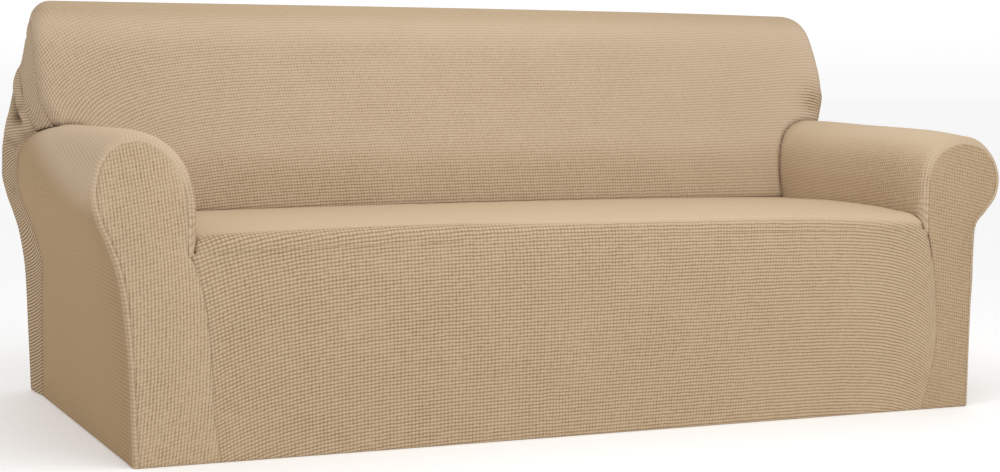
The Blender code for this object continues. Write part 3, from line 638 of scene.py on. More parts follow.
def rear_corner(side, height, tilt):
    """Points on the rounded rear corner of a row, from the side to the rear face."""
    depth, radius, half = (line.at(height) for line in (REAR_DEPTH, REAR_CORNER, REAR_HALF[side]))
    turn = np.radians(CORNER_TURNS)
    drop = radius * (1 - np.sin(turn))
    across = half - radius * (1 - np.cos(turn))
    return joined(side * across, depth - drop * tilt[0], height - drop * tilt[1])


def outer_half_row(side, edge, height, tilt):
    corner = rear_corner(side, height, tilt)
    start = corner[0]
    depth, level = mix(edge[1], start[1], RETURN_SHARES), mix(edge[2], start[2], RETURN_SHARES)
    unfolded = abs(edge[0]) - float(main_fold_rise(side, edge[1], edge[2]))
    across = mix(unfolded, abs(start[0]), ease(RETURN_SHARES))
    return np.concatenate([pushed_out(side, joined(side * across, depth, level)), corner])


def outer_back():
    """Rows run from the hem to the rear seam, columns from the left side edge to the right."""
    edges = {side: outer_side_points(side) for side in SIDES}
    end_tilt = BACK_PROFILE.normal(np.array(float(REAR_SEAM)))
    rows = len(edges[LEFT])
    closing_rows = GUSSET_REAR_ROWS * FINE
    grid = []
    for k in range(rows):
        closing = min(1.0, max(0.0, (k - (rows - 1 - closing_rows)) / closing_rows))
        tilt = (mix(1.0, -end_tilt[0], closing), -end_tilt[1] * closing)
        halves = []
        for side in SIDES:
            edge = edges[side][k]
            height = edge[2] + float(REAR_CORNER.at(edge[2])) * tilt[1]
            halves.append(outer_half_row(side, edge, height, tilt))
        rear = mix(halves[0][-1][None], halves[1][-1][None], REAR_SHARES[:, None])
        grid.append(np.concatenate([halves[0], rear, halves[1][::-1]]))
    grid[-1] = outer_top_row()
    grid = np.array(grid)
    run = np.gradient(grid[0], axis=0)
    inward = joined(run[:, 1], -run[:, 0]) / np.hypot(run[:, 0], run[:, 1])[:, None]
    return np.concatenate([hem_rows(grid[0], inward, 1.0), grid])


def outer_top_row():
    halves = []
    for side in SIDES:
        edge = back_points(side, REAR_SEAM, 1, END_EDGE)
        inner = back_points(side, REAR_SEAM, 1, 90)
        flat = mix(edge[None], inner[None], RETURN_SHARES[:, None])
        halves.append(np.concatenate([flat, back_points(side, REAR_SEAM, 1, 90 - CORNER_TURNS)]))
    left, right = halves
    across = mix(left[-1][0], right[-1][0], REAR_SHARES)
    rear = []
    for x in across:
        side, reach = (LEFT, abs(left[-1][0])) if x < 0 else (RIGHT, abs(right[-1][0]))
        rear.append(back_points(side, REAR_SEAM, abs(x) / reach, 0))
    return np.concatenate([left, np.array(rear), right[::-1]])


# ---- seams, tucks and fine folds

def measured(grid):
    """Distances of each point, along the cloth, from the first and last column and row."""
    across, along = row_lengths(grid), column_lengths(grid)
    return across, across[:, -1:] - across, along, along[-1:] - along


def row_lengths(grid):
    """Distance of each point from the first column, along its row."""
    step = np.linalg.norm(np.diff(grid, axis=1), axis=2)
    return np.concatenate([np.zeros((len(grid), 1)), np.cumsum(step, axis=1)], axis=1)


def column_lengths(grid):
    """Distance of each point from the first row, along its column."""
    return row_lengths(np.swapaxes(grid, 0, 1)).T


HEIGHT_COUNT = 4096
FIRST_HEIGHT = 512  # at a distance of zero, so that one below zero has a height too


def uneven(along, seed, spacing):
    """A smooth line of random heights between -1 and 1, with a turn every spacing."""
    heights = np.random.RandomState(seed).uniform(-1, 1, HEIGHT_COUNT)
    at = np.asarray(along) / spacing + FIRST_HEIGHT
    k = at.astype(int)
    return mix(heights[k % HEIGHT_COUNT], heights[(k + 1) % HEIGHT_COUNT], ease(at - k))


def outward_normals(grid, flipped):
    normal = np.cross(np.gradient(grid, axis=1), np.gradient(grid, axis=0))
    length = np.linalg.norm(normal, axis=2, keepdims=True)
    return normal / np.maximum(length, 1e-12) * (-1 if flipped else 1)


# A seam draws the cloth in beside it, may leave a raised lip, and gathers the cloth into small ribs.
Seam = namedtuple("Seam", "pinch pinch_reach lip lip_at gather gather_reach gather_spacing seed")
FRONT_EDGE = Seam(0.0012, 0.0020, 0.0016, 0.0042, 0.0006, 0.014, 0.0095, 3)
SLEEVE_EDGE = Seam(0.0016, 0.0024, 0.0018, 0.0130, 0.0005, 0.018, 0.0095, 3)
APRON_EDGE = Seam(0.0022, 0.0030, 0.0004, 0.0060, 0.0006, 0.022, 0.0105, 5)
CREASE_EDGE = Seam(0.0050, 0.0060, 0.0000, 0.0100, 0.0009, 0.020, 0.0120, 7)
BACK_CREASE = Seam(0.0040, 0.0055, 0.0006, 0.0120, 0.0010, 0.020, 0.0120, 9)
GUSSET_EDGE = Seam(0.0020, 0.0026, 0.0004, 0.0060, 0.0010, 0.024, 0.0100, 11)
REAR_EDGE = Seam(0.0018, 0.0028, 0.0002, 0.0060, 0.0006, 0.018, 0.0100, 13)
SEWN_WIDTH = 0.002  # beside a seam, where the sewing holds the cloth flat
PULL_SEED, PULL_SPACING = 20, 0.11  # of the stretches where a seam gathers the cloth more or less


def seam_relief(seam, away, along, pinch=1.0, lip=1.0, gather=1.0):
    """Height of the cloth over its smooth shape beside a seam; the last three scale its parts."""
    height = -seam.pinch * pinch * bell(away, seam.pinch_reach)
    height = height + seam.lip * lip * bell(away - seam.lip_at, 0.5 * seam.lip_at)
    pull = 0.6 + 0.4 * uneven(along, seam.seed + PULL_SEED, PULL_SPACING)
    ribs = uneven(along, seam.seed, seam.gather_spacing / 2)
    rise = np.minimum(away / SEWN_WIDTH, 1.0) * fade(away, seam.gather_reach)
    return height + seam.gather * gather * pull * ribs * rise


def gusset_seams(first, last, along):
    """Relief beside the seams along two opposite edges of a sheet."""
    return seam_relief(GUSSET_EDGE, first, along) + seam_relief(GUSSET_EDGE, last, along)


def level_hem(height):
    """The relief with the same height down a hem as just above it."""
    height[:HEM_ROWS] = height[HEM_ROWS]
    return height


# Finer folds that fan out from the foot of each gusset, in side view.
FINE_FOLDS = {
    LEFT: table(
        FOLD,
        (0.872, 0.668, 0.905, 0.760, 0.007, 0.0022),
        (0.890, 0.690, 0.952, 0.792, 0.006, -0.0035),
        (0.905, 0.675, 0.992, 0.765, 0.008, 0.0050),
        (0.900, 0.655, 1.000, 0.722, 0.007, -0.0045),
        (0.905, 0.640, 1.030, 0.688, 0.009, 0.0050),
        (0.900, 0.612, 1.040, 0.640, 0.009, -0.0040),
        (0.890, 0.585, 1.030, 0.585, 0.010, 0.0030),
        (0.880, 0.520, 1.010, 0.500, 0.012, -0.0022),
    ),
    RIGHT: table(
        FOLD,
        (0.880, 0.672, 0.915, 0.770, 0.007, 0.0020),
        (0.900, 0.680, 0.960, 0.790, 0.007, -0.0030),
        (0.905, 0.668, 1.000, 0.735, 0.008, 0.0045),
        (0.905, 0.640, 1.035, 0.672, 0.009, -0.0040),
        (0.900, 0.600, 1.040, 0.610, 0.010, 0.0030),
        (0.880, 0.530, 1.010, 0.515, 0.012, -0.0020),
    ),
}


def fine_fold_rise(side, depth, height):
    total = np.zeros(depth.shape)
    for fold in FINE_FOLDS[side]:
        along = fold_share(fold, depth, height)
        total += fold_rise(fold, depth, height) * ease(along, 0.25) * ease(1 - along, 0.5)
    return total


# Painted shade darkens the cloth in the deeper folds: DEEP_FOLD is the depth that would take it fully,
# and DARKEST caps it.
DEEP_FOLD = 0.018  # depth of a fold that would be wholly dark
DARKEST = 0.55


def fold_shade(side, depth, level):
    """How much painted shade darkens the cloth inside a deep fold."""
    shade = np.zeros(depth.shape)
    for one in SIDES:
        drop = -main_fold_rise(one, depth, level) - fine_fold_rise(one, depth, level)
        shade = np.where(side == one, np.clip(drop / DEEP_FOLD, 0.0, DARKEST), shade)
    return shade


# ---- pieces of cloth

# Each piece before it is stretched: the rectangle around its cut, and the cut's area.
Cut = namedtuple("Cut", "width length area")


# How deep the grooves between the wales and the courses are, how much painted shade lies in the creases,
# folds and gathered seams, and how much broad painted shade lies over whole sides and tops, each from 0
# to 1.
Look = namedtuple("Look", "columns rows dark taut")


def placed(data, place=(0.0, 0.0, 0.0), turn=(0.0, 0.0, 0.0)):
    """An object of the same name for a mesh, a light or a camera."""
    thing = bpy.data.objects.new(data.name, data)
    thing.location, thing.rotation_euler = place, turn
    bpy.context.scene.collection.objects.link(thing)
    return thing


def cloth_piece(name, grid, flipped, height, weave, look):
    """A sheet with its relief, its weave map in metres and its thickness turned inwards."""
    grid = grid + outward_normals(grid, flipped) * height[..., None]
    grid[..., 2] = np.maximum(grid[..., 2], 0.0)
    rows, columns = grid.shape[:2]
    points = (grid - np.array([ORIGIN_ACROSS, ORIGIN_DEPTH, 0.0])).reshape(-1, 3)
    first = (np.arange(rows - 1)[:, None] * columns + np.arange(columns - 1)[None]).ravel()
    quads = np.stack([first, first + 1, first + 1 + columns, first + columns], axis=-1)
    if flipped:
        quads = quads[:, ::-1]
    mesh = bpy.data.meshes.new(name)
    mesh.from_pydata(points.tolist(), [], quads.tolist())
    mesh.shade_smooth()
    corners = np.zeros(len(mesh.loops), dtype=np.int32)
    mesh.loops.foreach_get("vertex_index", corners)
    uv = mesh.uv_layers.new(name="weave")
    uv.data.foreach_set("uv", weave.reshape(-1, 2)[corners].ravel().astype(np.float32))
    for label, values in look._asdict().items():
        layer = mesh.attributes.new(label, "FLOAT", "POINT")
        values = np.broadcast_to(values, (rows, columns)).ravel().astype(np.float32)
        layer.data.foreach_set("value", values)
    piece = placed(mesh)
    thicken = piece.modifiers.new("Cloth thickness", "SOLIDIFY")
    thicken.thickness = CLOTH
    thicken.offset = -1
    return piece


def drop_towards(end_slope, reach, distance):
    """How far the courses have dropped where they are pulled down towards an end."""
    return end_slope * reach * fade(distance, reach)


# Depths of the grooves on each piece, along its wales and its courses
APRON_GROOVES = (0.47, 0.70)
BACK_GROOVES = (0.36, 0.54)
END_GROOVES = (0.3, 0.7)
FRONT_GROOVES = {LEFT: (0.58, 0.36), RIGHT: (0.44, 0.54)}
STITCH = 0.005  # spacing of the stitches in a seam
GATHERED_FROM = (0.385, 0.345)  # heights at the left and right seam where the apron's gathers begin
EDGE_FULLNESS, LEFT_FULLNESS = 0.0035, 0.0040  # of the seat's front edge, and how much more at the left


def make_seat_apron():
    grid = seat_apron()
    edge = HEM_ROWS + APRON_ROWS - 1
    across, _, level = np.moveaxis(grid, -1, 0)
    from_left, from_right, along, from_crease = measured(grid)
    past_edge = along - along[edge:edge + 1]
    on_seat = ease(past_edge - 0.02, 0.04)
    high = ease(level - np.where(across < 0, *GATHERED_FROM), 0.04)
    height = seam_relief(CREASE_EDGE, from_crease, from_left)
    for away in (from_left, from_right):
        sewn = seam_relief(APRON_EDGE, away, along, 0.05 + 0.95 * high, high, 0.15 + 1.05 * high)
        height += mix(sewn, seam_relief(CREASE_EDGE, away, along), on_seat)
    nearest = np.minimum(from_left, from_right)
    leftward = 1 - ease(across + 0.45, 0.50)
    fullness = (EDGE_FULLNESS + LEFT_FULLNESS * leftward) * (1 - bell(nearest, 0.03))
    height += fullness * bell(past_edge - 0.032, 0.028)

    # The courses droop towards the left seam and sweep up to the right one, and the wales lean.
    left, right = across + 0.86, 0.90 - across
    pulled = np.maximum(across + 0.1, 0.0)
    v = past_edge * (1 - 0.055 * fade(left, 0.2))
    v = v + 0.024 * fade(left, 0.15) * (1 - fade(np.maximum(-past_edge, 0.0), 0.12))
    v = v + drop_towards(0.26, 0.26, left) + drop_towards(0.95, 0.075, right)
    u = across + fade(left, 0.15) * (0.11 * (level - 0.3) + 0.5 * np.maximum(level - 0.3, 0.0) ** 2)
    u = u + 0.06 * pulled ** 2 + 0.24 * pulled * (APRON_TOP - level)

    # The checks flatten out behind the seat's front edge, where the cloth is drawn tight.
    begins = 0.022 + 0.018 * leftward - 0.010 * ease(across - 0.55, 0.25)
    relief = 1 - 0.92 * ease(past_edge - begins, 0.020)
    relief = relief + (0.25 + 0.25 * leftward) * on_seat * fade(nearest, 0.03 + 0.03 * leftward)
    # Painted shade high on the apron beside the seams to the arm fronts, just below the seat's edge,
    # broken up along the seams.
    gather_shade = ease(0.6 + 0.8 * uneven(along, 31, STITCH)) * bell(nearest, 0.006)
    crease_shade = 0.9 * gather_shade * high * ease(0.452 - level, 0.02)
    columns, rows = APRON_GROOVES
    look = Look(columns * relief * (1 - 0.5 * ease(pulled)), rows * relief, crease_shade, 0.0)
    return cloth_piece("seat_and_apron", grid, False, level_hem(height), joined(u, v), look)


def arm_gap(across, level):
    """Distance in front view from the section of the arm where the back comes down on it."""
    gap = np.full(across.shape, 1.0)
    for side in SIDES:
        line, levels = ARM_LINE[side].at(np.linspace(0, OUTER_CROWN, ROLL_READINGS))
        levels = levels + arm_lift(side, levels, BACK_AT_ARM)
        away = np.hypot(across[..., None] - side * line, level[..., None] - levels).min(axis=-1)
        gap = np.minimum(gap, away)
    return gap


def make_inner_back():
    grid, places = inner_back()
    across, _, level = np.moveaxis(grid, -1, 0)
    from_left, from_right, along, from_seam = measured(grid)
    from_arm = arm_gap(across, level)
    from_foot = np.minimum(np.maximum(from_arm - CLOTH, 0.0), along)
    height = seam_relief(BACK_CREASE, from_foot, across + level)
    height += seam_relief(REAR_EDGE, from_seam, across) + gusset_seams(from_left, from_right, along)

    # The courses droop towards both ends, and the wales lean out towards the left one.
    middle = across.shape[1] // 2
    left, right = from_left, 1.06 - across
    v = np.interp(places, places[:, middle], along[:, middle])
    v = v * (1 - 0.14 * fade(left, 0.3) - 0.13 * fade(right, 0.3))
    v = v - 0.18 * fade(left, 0.12) * (v - 0.35)
    v = v + drop_towards(0.72, 0.24, left) + drop_towards(0.50, 0.115, left)
    v = v + ease(0.93 - level, 0.3) * drop_towards(1.2, 0.045, right)
    lean = 0.28 * fade(left, 0.15) + 0.22 * fade(left, 0.9)
    u = from_left - from_left[:, middle:middle + 1] + lean * (level - 0.78)

    low_corner = bell(across - 1.02, 0.05) * bell(level - 0.71, 0.05)
    relief = 1 - 0.5 * ease(level - 0.83, 0.08) - 0.3 * ease(level - 0.935, 0.02)
    relief = relief + 0.3 * ease(0.62 - level, 0.12) + 1.4 * low_corner
    relief = relief * (1 - 0.55 * fade(right, 0.4) * (1 - low_corner))
    # Painted shade along the crease where the back meets an arm, broken into dashes at the stitch
    # spacing.
    crease_shade_dashes = 0.55 + 0.45 * ease(0.5 + uneven(across + level, 37, STITCH))
    beside = ease(np.abs(across) - SEAT_HALF + 0.012, 0.01)
    crease_shade = 0.85 * beside * crease_shade_dashes * bell(np.minimum(from_arm, along), 0.0055)
    plain = 0.45 * fade(left, 0.3) - 0.9 * fade(left, 0.12) + 0.4 * fade(right, 0.4)
    columns, rows = BACK_GROOVES
    # Broad painted shade darkens the top of the back.
    look = Look(columns * relief * (1 - plain), rows * relief, crease_shade, 0.45 * ease(level - 0.90, 0.05))
    return cloth_piece("inner_back_cloth", grid, False, height, joined(u, v), look)


# Where painted shade darkens the opening of the deepest fold on the left.
POCKET = (0.943, 0.696)  # depth and height of the middle of the deepest fold
POCKET_RUN, POCKET_RISE = 0.917, -0.40  # its direction
POCKET_LENGTH, POCKET_WIDTH = 0.030, 0.010


def pocket(depth, level):
    """Painted shade in the opening of the deepest fold, in side view."""
    behind, over = depth - POCKET[0], level - POCKET[1]
    along = POCKET_RUN * behind + POCKET_RISE * over
    across = POCKET_RUN * over - POCKET_RISE * behind
    return 0.6 * bell(along, POCKET_LENGTH) * bell(across, POCKET_WIDTH)


def make_outer_back():
    grid = outer_back()
    across, depth, level = np.moveaxis(grid, -1, 0)
    fine = [side * fine_fold_rise(side, depth, level) for side in SIDES]
    grid[..., 0] += np.where(across < 0, *fine) * ease(1.12 - depth, 0.05)
    from_left, from_right, along, from_seam = measured(grid)
    height = gusset_seams(from_left, from_right, along) + seam_relief(REAR_EDGE, from_seam, across)

    # The courses of the returns rise towards the side seams, up to the height of the arm's roll.
    nearest = np.minimum(from_left, from_right)
    slope = mix(0.34, 0.43, ease(level - 0.2, 0.25)) * (1 - ease(level - 0.53, 0.20))
    v = 0.92 * level + 0.36 * np.maximum(level - 0.42, 0.0) + slope * 0.2 * (1 - fade(nearest, 0.2))
    on_side = 1 - ease(nearest - 0.2, 0.1)
    # Painted shade in the deep folds, and in the opening of the deepest fold on the left.
    crease_shade = fold_shade(np.sign(across), depth, level) + np.where(across < 0, pocket(depth, level), 0.0)
    rows = mix(0.8, mix(1.5, 0.7, ease(level - 0.57, 0.08)), on_side)
    look = Look(mix(0.4, 0.1, on_side), rows, crease_shade, 0.0)
    weave = joined(from_left, v)
    return cloth_piece("outer_back_cloth", grid, True, level_hem(height), weave, look)


def neck(level):
    """How near a height is to the neck below the scroll of an arm, where its seam stands out."""
    return ease(level - 0.22, 0.08) * ease(0.62 - level, 0.10)


def make_arm_sleeve(side):
    grid = arm_sleeve(side)
    _, depth, level = np.moveaxis(grid, -1, 0)
    grid[..., 0] += side * fine_fold_rise(side, depth, level)
    section, _, from_front, from_rear = measured(grid)
    near = neck(level)
    height = seam_relief(SLEEVE_EDGE, from_front, section[:1], 0.04, near, 0.2 + 0.6 * near)
    height += seam_relief(GUSSET_EDGE, from_rear, section[-1:])
    v = np.broadcast_to(section[len(grid) // 2], level.shape)
    v = v - 0.115 * np.maximum(v - 0.3, 0.0) + 0.16 * (1 - ease(section - 0.48, 0.22)) * depth

    # The cloth is taut over the roll and the outer side, so the checks show on the inner arm and
    # along the edges.
    inner = 1 - ease(section - 0.11, 0.11)
    outer = ease(section - 0.42, 0.1)
    side_relief = 0.85 * fade(from_front, 0.13) * (0.3 + 0.7 * ease(from_front, 0.06))
    front_relief = mix(0.14 * bell(from_front, 0.050), side_relief, outer)
    roll_relief = 0.18 * ease(section - 0.22, 0.1) * ease(level - 0.46, 0.08)
    roll_relief = roll_relief * (1 - ease(depth - 0.3, 0.5))
    rear_relief = 0.40 * bell(from_rear, 0.03)
    hem_relief = 0.22 * outer * bell(level, 0.05)
    edges = 0.05 + np.max([front_relief, rear_relief, hem_relief, roll_relief], axis=0)
    forward = 1 - ease(depth - 0.15, 0.35)
    turning = bell(from_front, 0.014) * ease(0.60 - level, 0.08) * outer
    rows = np.maximum(edges, inner * (0.30 + 0.12 * forward)) + 0.12 * turning
    columns = np.maximum(0.4 * edges, inner * (0.08 + 0.42 * forward)) + 0.40 * turning
    # Broad painted shade over the outer side of the arm, from just behind its front edge.
    look = Look(columns, rows, 0.0, outer * ease(from_front - 0.006, 0.012))
    name = "arm_sleeve_cloth_" + WORD[side]
    return cloth_piece(name, grid, side == LEFT, height, joined(from_front, v), look)


FRONT_WIDENED = {LEFT: 0.025, RIGHT: -0.126}  # how much wider a check is low on the front
# Broad painted shade over the whole right arm front.
FRONT_BROAD_SHADE = {LEFT: 0.0, RIGHT: 0.35}
FRONT_MIDDLE = 0.93


def make_arm_front(side):
    grid = arm_front(side)
    across, _, level = np.moveaxis(grid, -1, 0)
    from_inner, from_outer, along, from_top = measured(grid)
    near = neck(level)
    high = ease(level - 0.38, 0.04) * ease(0.46 - level, 0.03)
    height = seam_relief(FRONT_EDGE, from_outer, along, 0.04, 0.2 * near, 0.15 + 0.5 * near)
    height += seam_relief(
        FRONT_EDGE, from_inner, along, 0.05 + 0.95 * high, 0.3 * high, 0.15 + 0.5 * high
    )
    height += seam_relief(FRONT_EDGE, from_top, from_inner, 0.04, 0.0, 0.1)
    out = np.abs(across) - FRONT_MIDDLE
    widened = FRONT_WIDENED[side] * (1 - ease(level - 0.30, 0.22))
    u = side * (out * (1 - widened) - 0.22 * (level - 0.30) ** 2)
    v = level + 0.235 * out
    scroll = ease(level - 0.50, 0.08)
    relief = 1 - 0.3 * bell(from_inner, 0.03) * high - 0.45 * scroll * fade(from_inner, 0.025)
    relief = relief - 0.1 * scroll * fade(np.minimum(from_outer, from_top), 0.012)
    columns, rows = FRONT_GROOVES[side]
    look = Look(columns * relief, rows * relief, 0.0, FRONT_BROAD_SHADE[side])
    name = "arm_front_cloth_" + WORD[side]
    return cloth_piece(name, grid, side == LEFT, level_hem(height), joined(u, v), look)


FAN_MIDDLE = (0.56, 0.15)  # depth and height from which the wales of a gusset fan out


def make_back_end(side):
    grid = back_end(side)
    _, depth, level = np.moveaxis(grid, -1, 0)
    grid[..., 0] += side * fine_fold_rise(side, depth, level)
    from_front, from_rear, along, from_top = measured(grid)
    height = gusset_seams(from_front, from_rear, along) + seam_relief(GUSSET_EDGE, from_top, from_front)
    behind, over = depth - FAN_MIDDLE[0], level - FAN_MIDDLE[1]
    weave = joined(0.7 * np.arctan2(behind, over), 0.85 * np.hypot(behind, over))
    # Painted shade in the deep folds.
    look = Look(*END_GROOVES, fold_shade(side, depth, level), 0.0)
    return cloth_piece("back_end_cloth_" + WORD[side], grid, side == LEFT, height, weave, look)


# ---- the knit

def math_node(operation, turned=False):
    """A method of a reading that adds a Math node; turned takes its values the other way round."""
    def method(*values):
        ordered = values[::-1] if turned else values
        return values[0].material.node("Math", {"operation": operation}, ordered)[0]
    return method


class Reading:
    """A value in a material; arithmetic on it adds Math nodes."""

    def __init__(self, material, socket):
        self.material, self.socket = material, socket

    __add__ = __radd__ = math_node("ADD")
    __sub__, __rsub__ = math_node("SUBTRACT"), math_node("SUBTRACT", turned=True)
    __mul__ = __rmul__ = math_node("MULTIPLY")
    __truediv__ = math_node("DIVIDE")
    __pow__ = math_node("POWER")
    cosine = math_node("COSINE")
    largest = math_node("MAXIMUM")
    smallest = math_node("MINIMUM")

    def clamped(self):
        return self.largest(0.0).smallest(1.0)


class Nodes:
    """A node tree that is built from expressions."""

    def __init__(self, tree):
        self.tree = tree

    def node(self, kind, settings=None, inputs=()):
        """A node of a kind: its settings are made first, then its inputs are set or linked."""
        node = self.tree.nodes.new("ShaderNode" + kind)
        for key, value in (settings or {}).items():
            setattr(node, key, value)
        pairs = inputs.items() if isinstance(inputs, dict) else enumerate(inputs)
        for key, value in pairs:
            self.feed(node.inputs[key], value)
        return [Reading(self, output) for output in node.outputs if output.enabled]

    def feed(self, socket, value):
        if isinstance(value, Reading):
            self.tree.links.new(value.socket, socket)
        else:
            socket.default_value = value


FIRST_COLOUR, SECOND_COLOUR = 6, 7  # inputs of a Mix node
OBJECT_PLACE = 3  # output of a Texture Coordinate node
FACTOR = 2  # output of an Attribute node


class Material(Nodes):
    def __init__(self, name):
        self.made = bpy.data.materials.new(name)
        self.made.use_nodes = True
        super().__init__(self.made.node_tree)
        self.shader = self.tree.nodes["Principled BSDF"]

    def mix(self, share, first, second):
        """One colour turned into another by a share."""
        inputs = {"Factor": share, FIRST_COLOUR: first, SECOND_COLOUR: second}
        return self.node("Mix", {"data_type": "RGBA"}, inputs)[0]

    def finished(self, values):
        """The material with these inputs of its shader set or linked."""
        for name, value in values.items():
            self.feed(self.shader.inputs[name], value)
        return self.made


def linear(colour):
    """A colour from 0 to 255 as the renderer's own values."""
    parts = [c / 255 for c in colour]
    parts = [c / 12.92 if c <= 0.04045 else ((c + 0.055) / 1.055) ** 2.4 for c in parts]
    return (*parts, 1.0)


CELL_COLOUR = linear((206, 183, 153))
# Painted light: the back and the sleeves take lighter, less orange copies of the one cloth colour.
BACK_LIT_COLOUR = linear((206, 185, 159))
SLEEVE_LIT_COLOUR = linear((206, 184, 156))
# Broad painted shade over whole sides and tops.
BROAD_SHADE_COLOUR = linear((178, 151, 117))
# Painted shade in the knit's grooves.
GROOVE_SHADE_COLOUR = linear((140, 114, 83))
# Painted shade in creases, deep folds and gathered seams.
CREASE_SHADE_COLOUR = linear((84, 62, 42))
RELIEF_HEIGHT = 0.0006
RELIEF_STRENGTH = 0.8
ROUGHNESS = 0.95
SHEEN = 0.08
WANDER = 0.45  # how far the lines of checks wander, in checks
# Scale and detail of the unevenness in the lines, the tone, the yarn and its fibres
NOISES = [(30.0, 1.0), (9.0, 2.0), (110.0, 1.0), (900.0, 2.0)]


def knit(name, wale, course, cell=CELL_COLOUR):
    """A stretch knit with a raised check: wale and course are the sizes of a check, in metres.

    The columns and rows on each sheet say how deep the grooves between its wales and courses are.
    """
    material = Material(name)
    uv = material.node("UVMap", {"uv_map": "weave"})[0]
    u, v, _ = material.node("SeparateXYZ", inputs=[uv])
    place = material.node("TexCoord")[OBJECT_PLACE]
    columns, rows, crease_shade, broad_shade = (
        material.node("Attribute", {"attribute_name": label})[FACTOR] for label in Look._fields
    )
    wander, patch, yarn, fibre = (
        material.node("TexNoise", inputs={"Vector": place, "Scale": scale, "Detail": detail})[0]
        for scale, detail in NOISES
    )
    u = u + (wander - 0.5) * (WANDER * wale)
    v = v + (wander - 0.5) * (WANDER * course)
    across = ((u * (2 * math.pi / wale)).cosine() * 0.5 + 0.5) ** 2.0 * columns * (yarn * 1.6 + 0.2)
    along = ((v * (2 * math.pi / course)).cosine() * 0.5 + 0.5) ** 1.6 * rows * (yarn * 0.6 + 0.7)
    groove = across.largest(along) * 0.6 + (across + along) * 0.4
    groove = (groove * (patch * 0.3 + 0.85)).clamped()
    # Painted shade in the grooves, with the yarn's own random tone of fibres and patches over it.
    groove_shade_and_tone = (groove + (fibre - 0.5) * 0.16 + (patch - 0.5) * 0.04 + 0.05).clamped()
    # Painted shade: broad over whole sides and tops, then in the grooves, then in the creases, folds and
    # gathered seams.
    colour = material.mix(broad_shade, cell, BROAD_SHADE_COLOUR)
    colour = material.mix(groove_shade_and_tone, colour, GROOVE_SHADE_COLOUR)
    colour = material.mix(crease_shade, colour, CREASE_SHADE_COLOUR)
    surface = (1.0 - groove) + (fibre - 0.5) * 0.12
    relief = {"Height": surface, "Strength": RELIEF_STRENGTH, "Distance": RELIEF_HEIGHT}
    return material.finished({
        "Base Color": colour, "Roughness": ROUGHNESS, "Specular IOR Level": SHEEN,
        "Normal": material.node("Bump", inputs=relief)[0],
    })


# ---- studio

FLOOR_COLOUR = (0.88, 0.88, 0.88, 1.0)
FLOOR_ROUGHNESS = 0.8
FLOOR_GLOW = 0.24
FLOOR_REACH = 60.0
FLOOR_LEVEL = -0.0005
WHITE = (1.0, 1.0, 1.0, 1.0)
BACKDROP_STRENGTH = 1.05
HORIZON_STRENGTH = 0.95
HORIZON_BLEND = 0.04
FRONT_STRENGTH = 0.54
BACKDROP_FROM = 0.15  # how far to the rear a direction points where the backdrop begins
BACKDROP_BLEND = 0.40
KEY_STRENGTH = 0.51
KEY_WIDTH = math.radians(50)
KEY_TILT = math.radians(50)
BOX_SIZE = (1.8, 1.2)
BOX_PLACE = (0.0, -1.3, 2.3)
BOX_TILT = math.radians(25)
BOX_POWER = 21.0  # watts
CAMERA_PLACE = (-1.859 - ORIGIN_ACROSS, -3.905 - ORIGIN_DEPTH, 0.771)
CAMERA_TILT, CAMERA_TURN = math.pi / 2 - 0.0774, -0.40025
CAMERA_LENS, CAMERA_WIDTH = 72.0, 36.0  # millimetres


def pale_floor():
    mesh = bpy.data.meshes.new("floor")
    far = FLOOR_REACH
    corners = [(x, y, FLOOR_LEVEL) for x, y in ((-far, -far), (far, -far), (far, far), (-far, far))]
    mesh.from_pydata(corners, [], [range(4)])
    mesh.materials.append(Material("pale floor").finished({
        "Base Color": FLOOR_COLOUR, "Roughness": FLOOR_ROUGHNESS,
        "Emission Color": FLOOR_COLOUR, "Emission Strength": FLOOR_GLOW,
    }))
    placed(mesh)


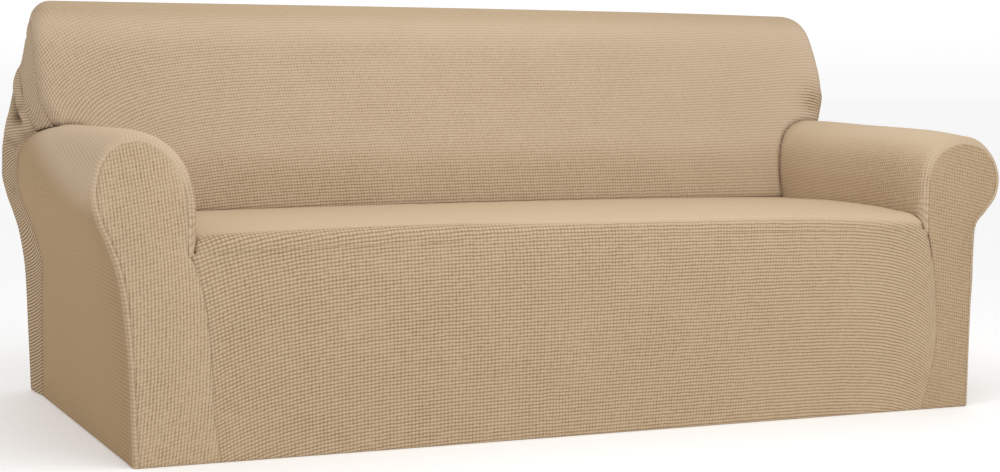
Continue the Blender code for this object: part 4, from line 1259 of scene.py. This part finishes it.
def surroundings():
    """An even white light from the front, and a white backdrop behind the cover."""
    world = bpy.data.worlds.new("studio")
    bpy.context.scene.world = world
    world.use_nodes = True
    sky = Nodes(world.node_tree)
    background = world.node_tree.nodes["Background"]
    background.inputs["Color"].default_value = WHITE
    direction = sky.node("TexCoord")[0]
    _, rear, up = sky.node("SeparateXYZ", inputs=[direction])
    behind = ((rear - BACKDROP_FROM) * (1 / BACKDROP_BLEND)).clamped()
    above = (up / HORIZON_BLEND).clamped()
    backdrop = above * (BACKDROP_STRENGTH - HORIZON_STRENGTH) + HORIZON_STRENGTH
    strength = behind * (backdrop - FRONT_STRENGTH) + FRONT_STRENGTH
    sky.feed(background.inputs["Strength"], strength)


def lamps():
    key = bpy.data.lights.new("key", "SUN")
    key.energy, key.angle = KEY_STRENGTH, KEY_WIDTH
    box = bpy.data.lights.new("softbox", "AREA")
    box.shape, box.energy = "RECTANGLE", BOX_POWER
    box.size, box.size_y = BOX_SIZE
    for data, place, tilt in ((key, (0.0, -3.0, 3.0), KEY_TILT), (box, BOX_PLACE, BOX_TILT)):
        placed(data, place, (tilt, 0.0, 0.0)).visible_camera = False


def camera():
    data = bpy.data.cameras.new("camera")
    data.lens, data.sensor_width, data.clip_end = CAMERA_LENS, CAMERA_WIDTH, 200.0
    bpy.context.scene.camera = placed(data, CAMERA_PLACE, (CAMERA_TILT, 0.0, CAMERA_TURN))


def main():
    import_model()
    for thing in list(bpy.context.selected_objects):
        thing.select_set(False)
    camera()
    pale_floor()
    surroundings()
    lamps()
    bpy.context.scene.view_settings.view_transform = "Standard"

    apron_knit = knit("apron knit", 0.0082, 0.0075)
    back_knit = knit("back knit", 0.0076, 0.0075, BACK_LIT_COLOUR)
    front_knit = knit("arm front knit", 0.0070, 0.0080)
    sleeve_knit = knit("sleeve knit", 0.0078, 0.0078, SLEEVE_LIT_COLOUR)

    made = [
        (make_seat_apron(), apron_knit, "seat_apron"),
        (make_inner_back(), back_knit, "inner_back"),
        (make_outer_back(), sleeve_knit, "outer_back"),
    ]
    for side in SIDES:
        word = WORD[side]
        made += [
            (make_arm_sleeve(side), sleeve_knit, "arm_sleeve_" + word),
            (make_arm_front(side), front_knit, "arm_front_" + word),
            (make_back_end(side), sleeve_knit, "back_end_" + word),
        ]
    for piece, material, node in made:
        piece.data.materials.append(material)
        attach(piece, "root")
        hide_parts(node)


main()
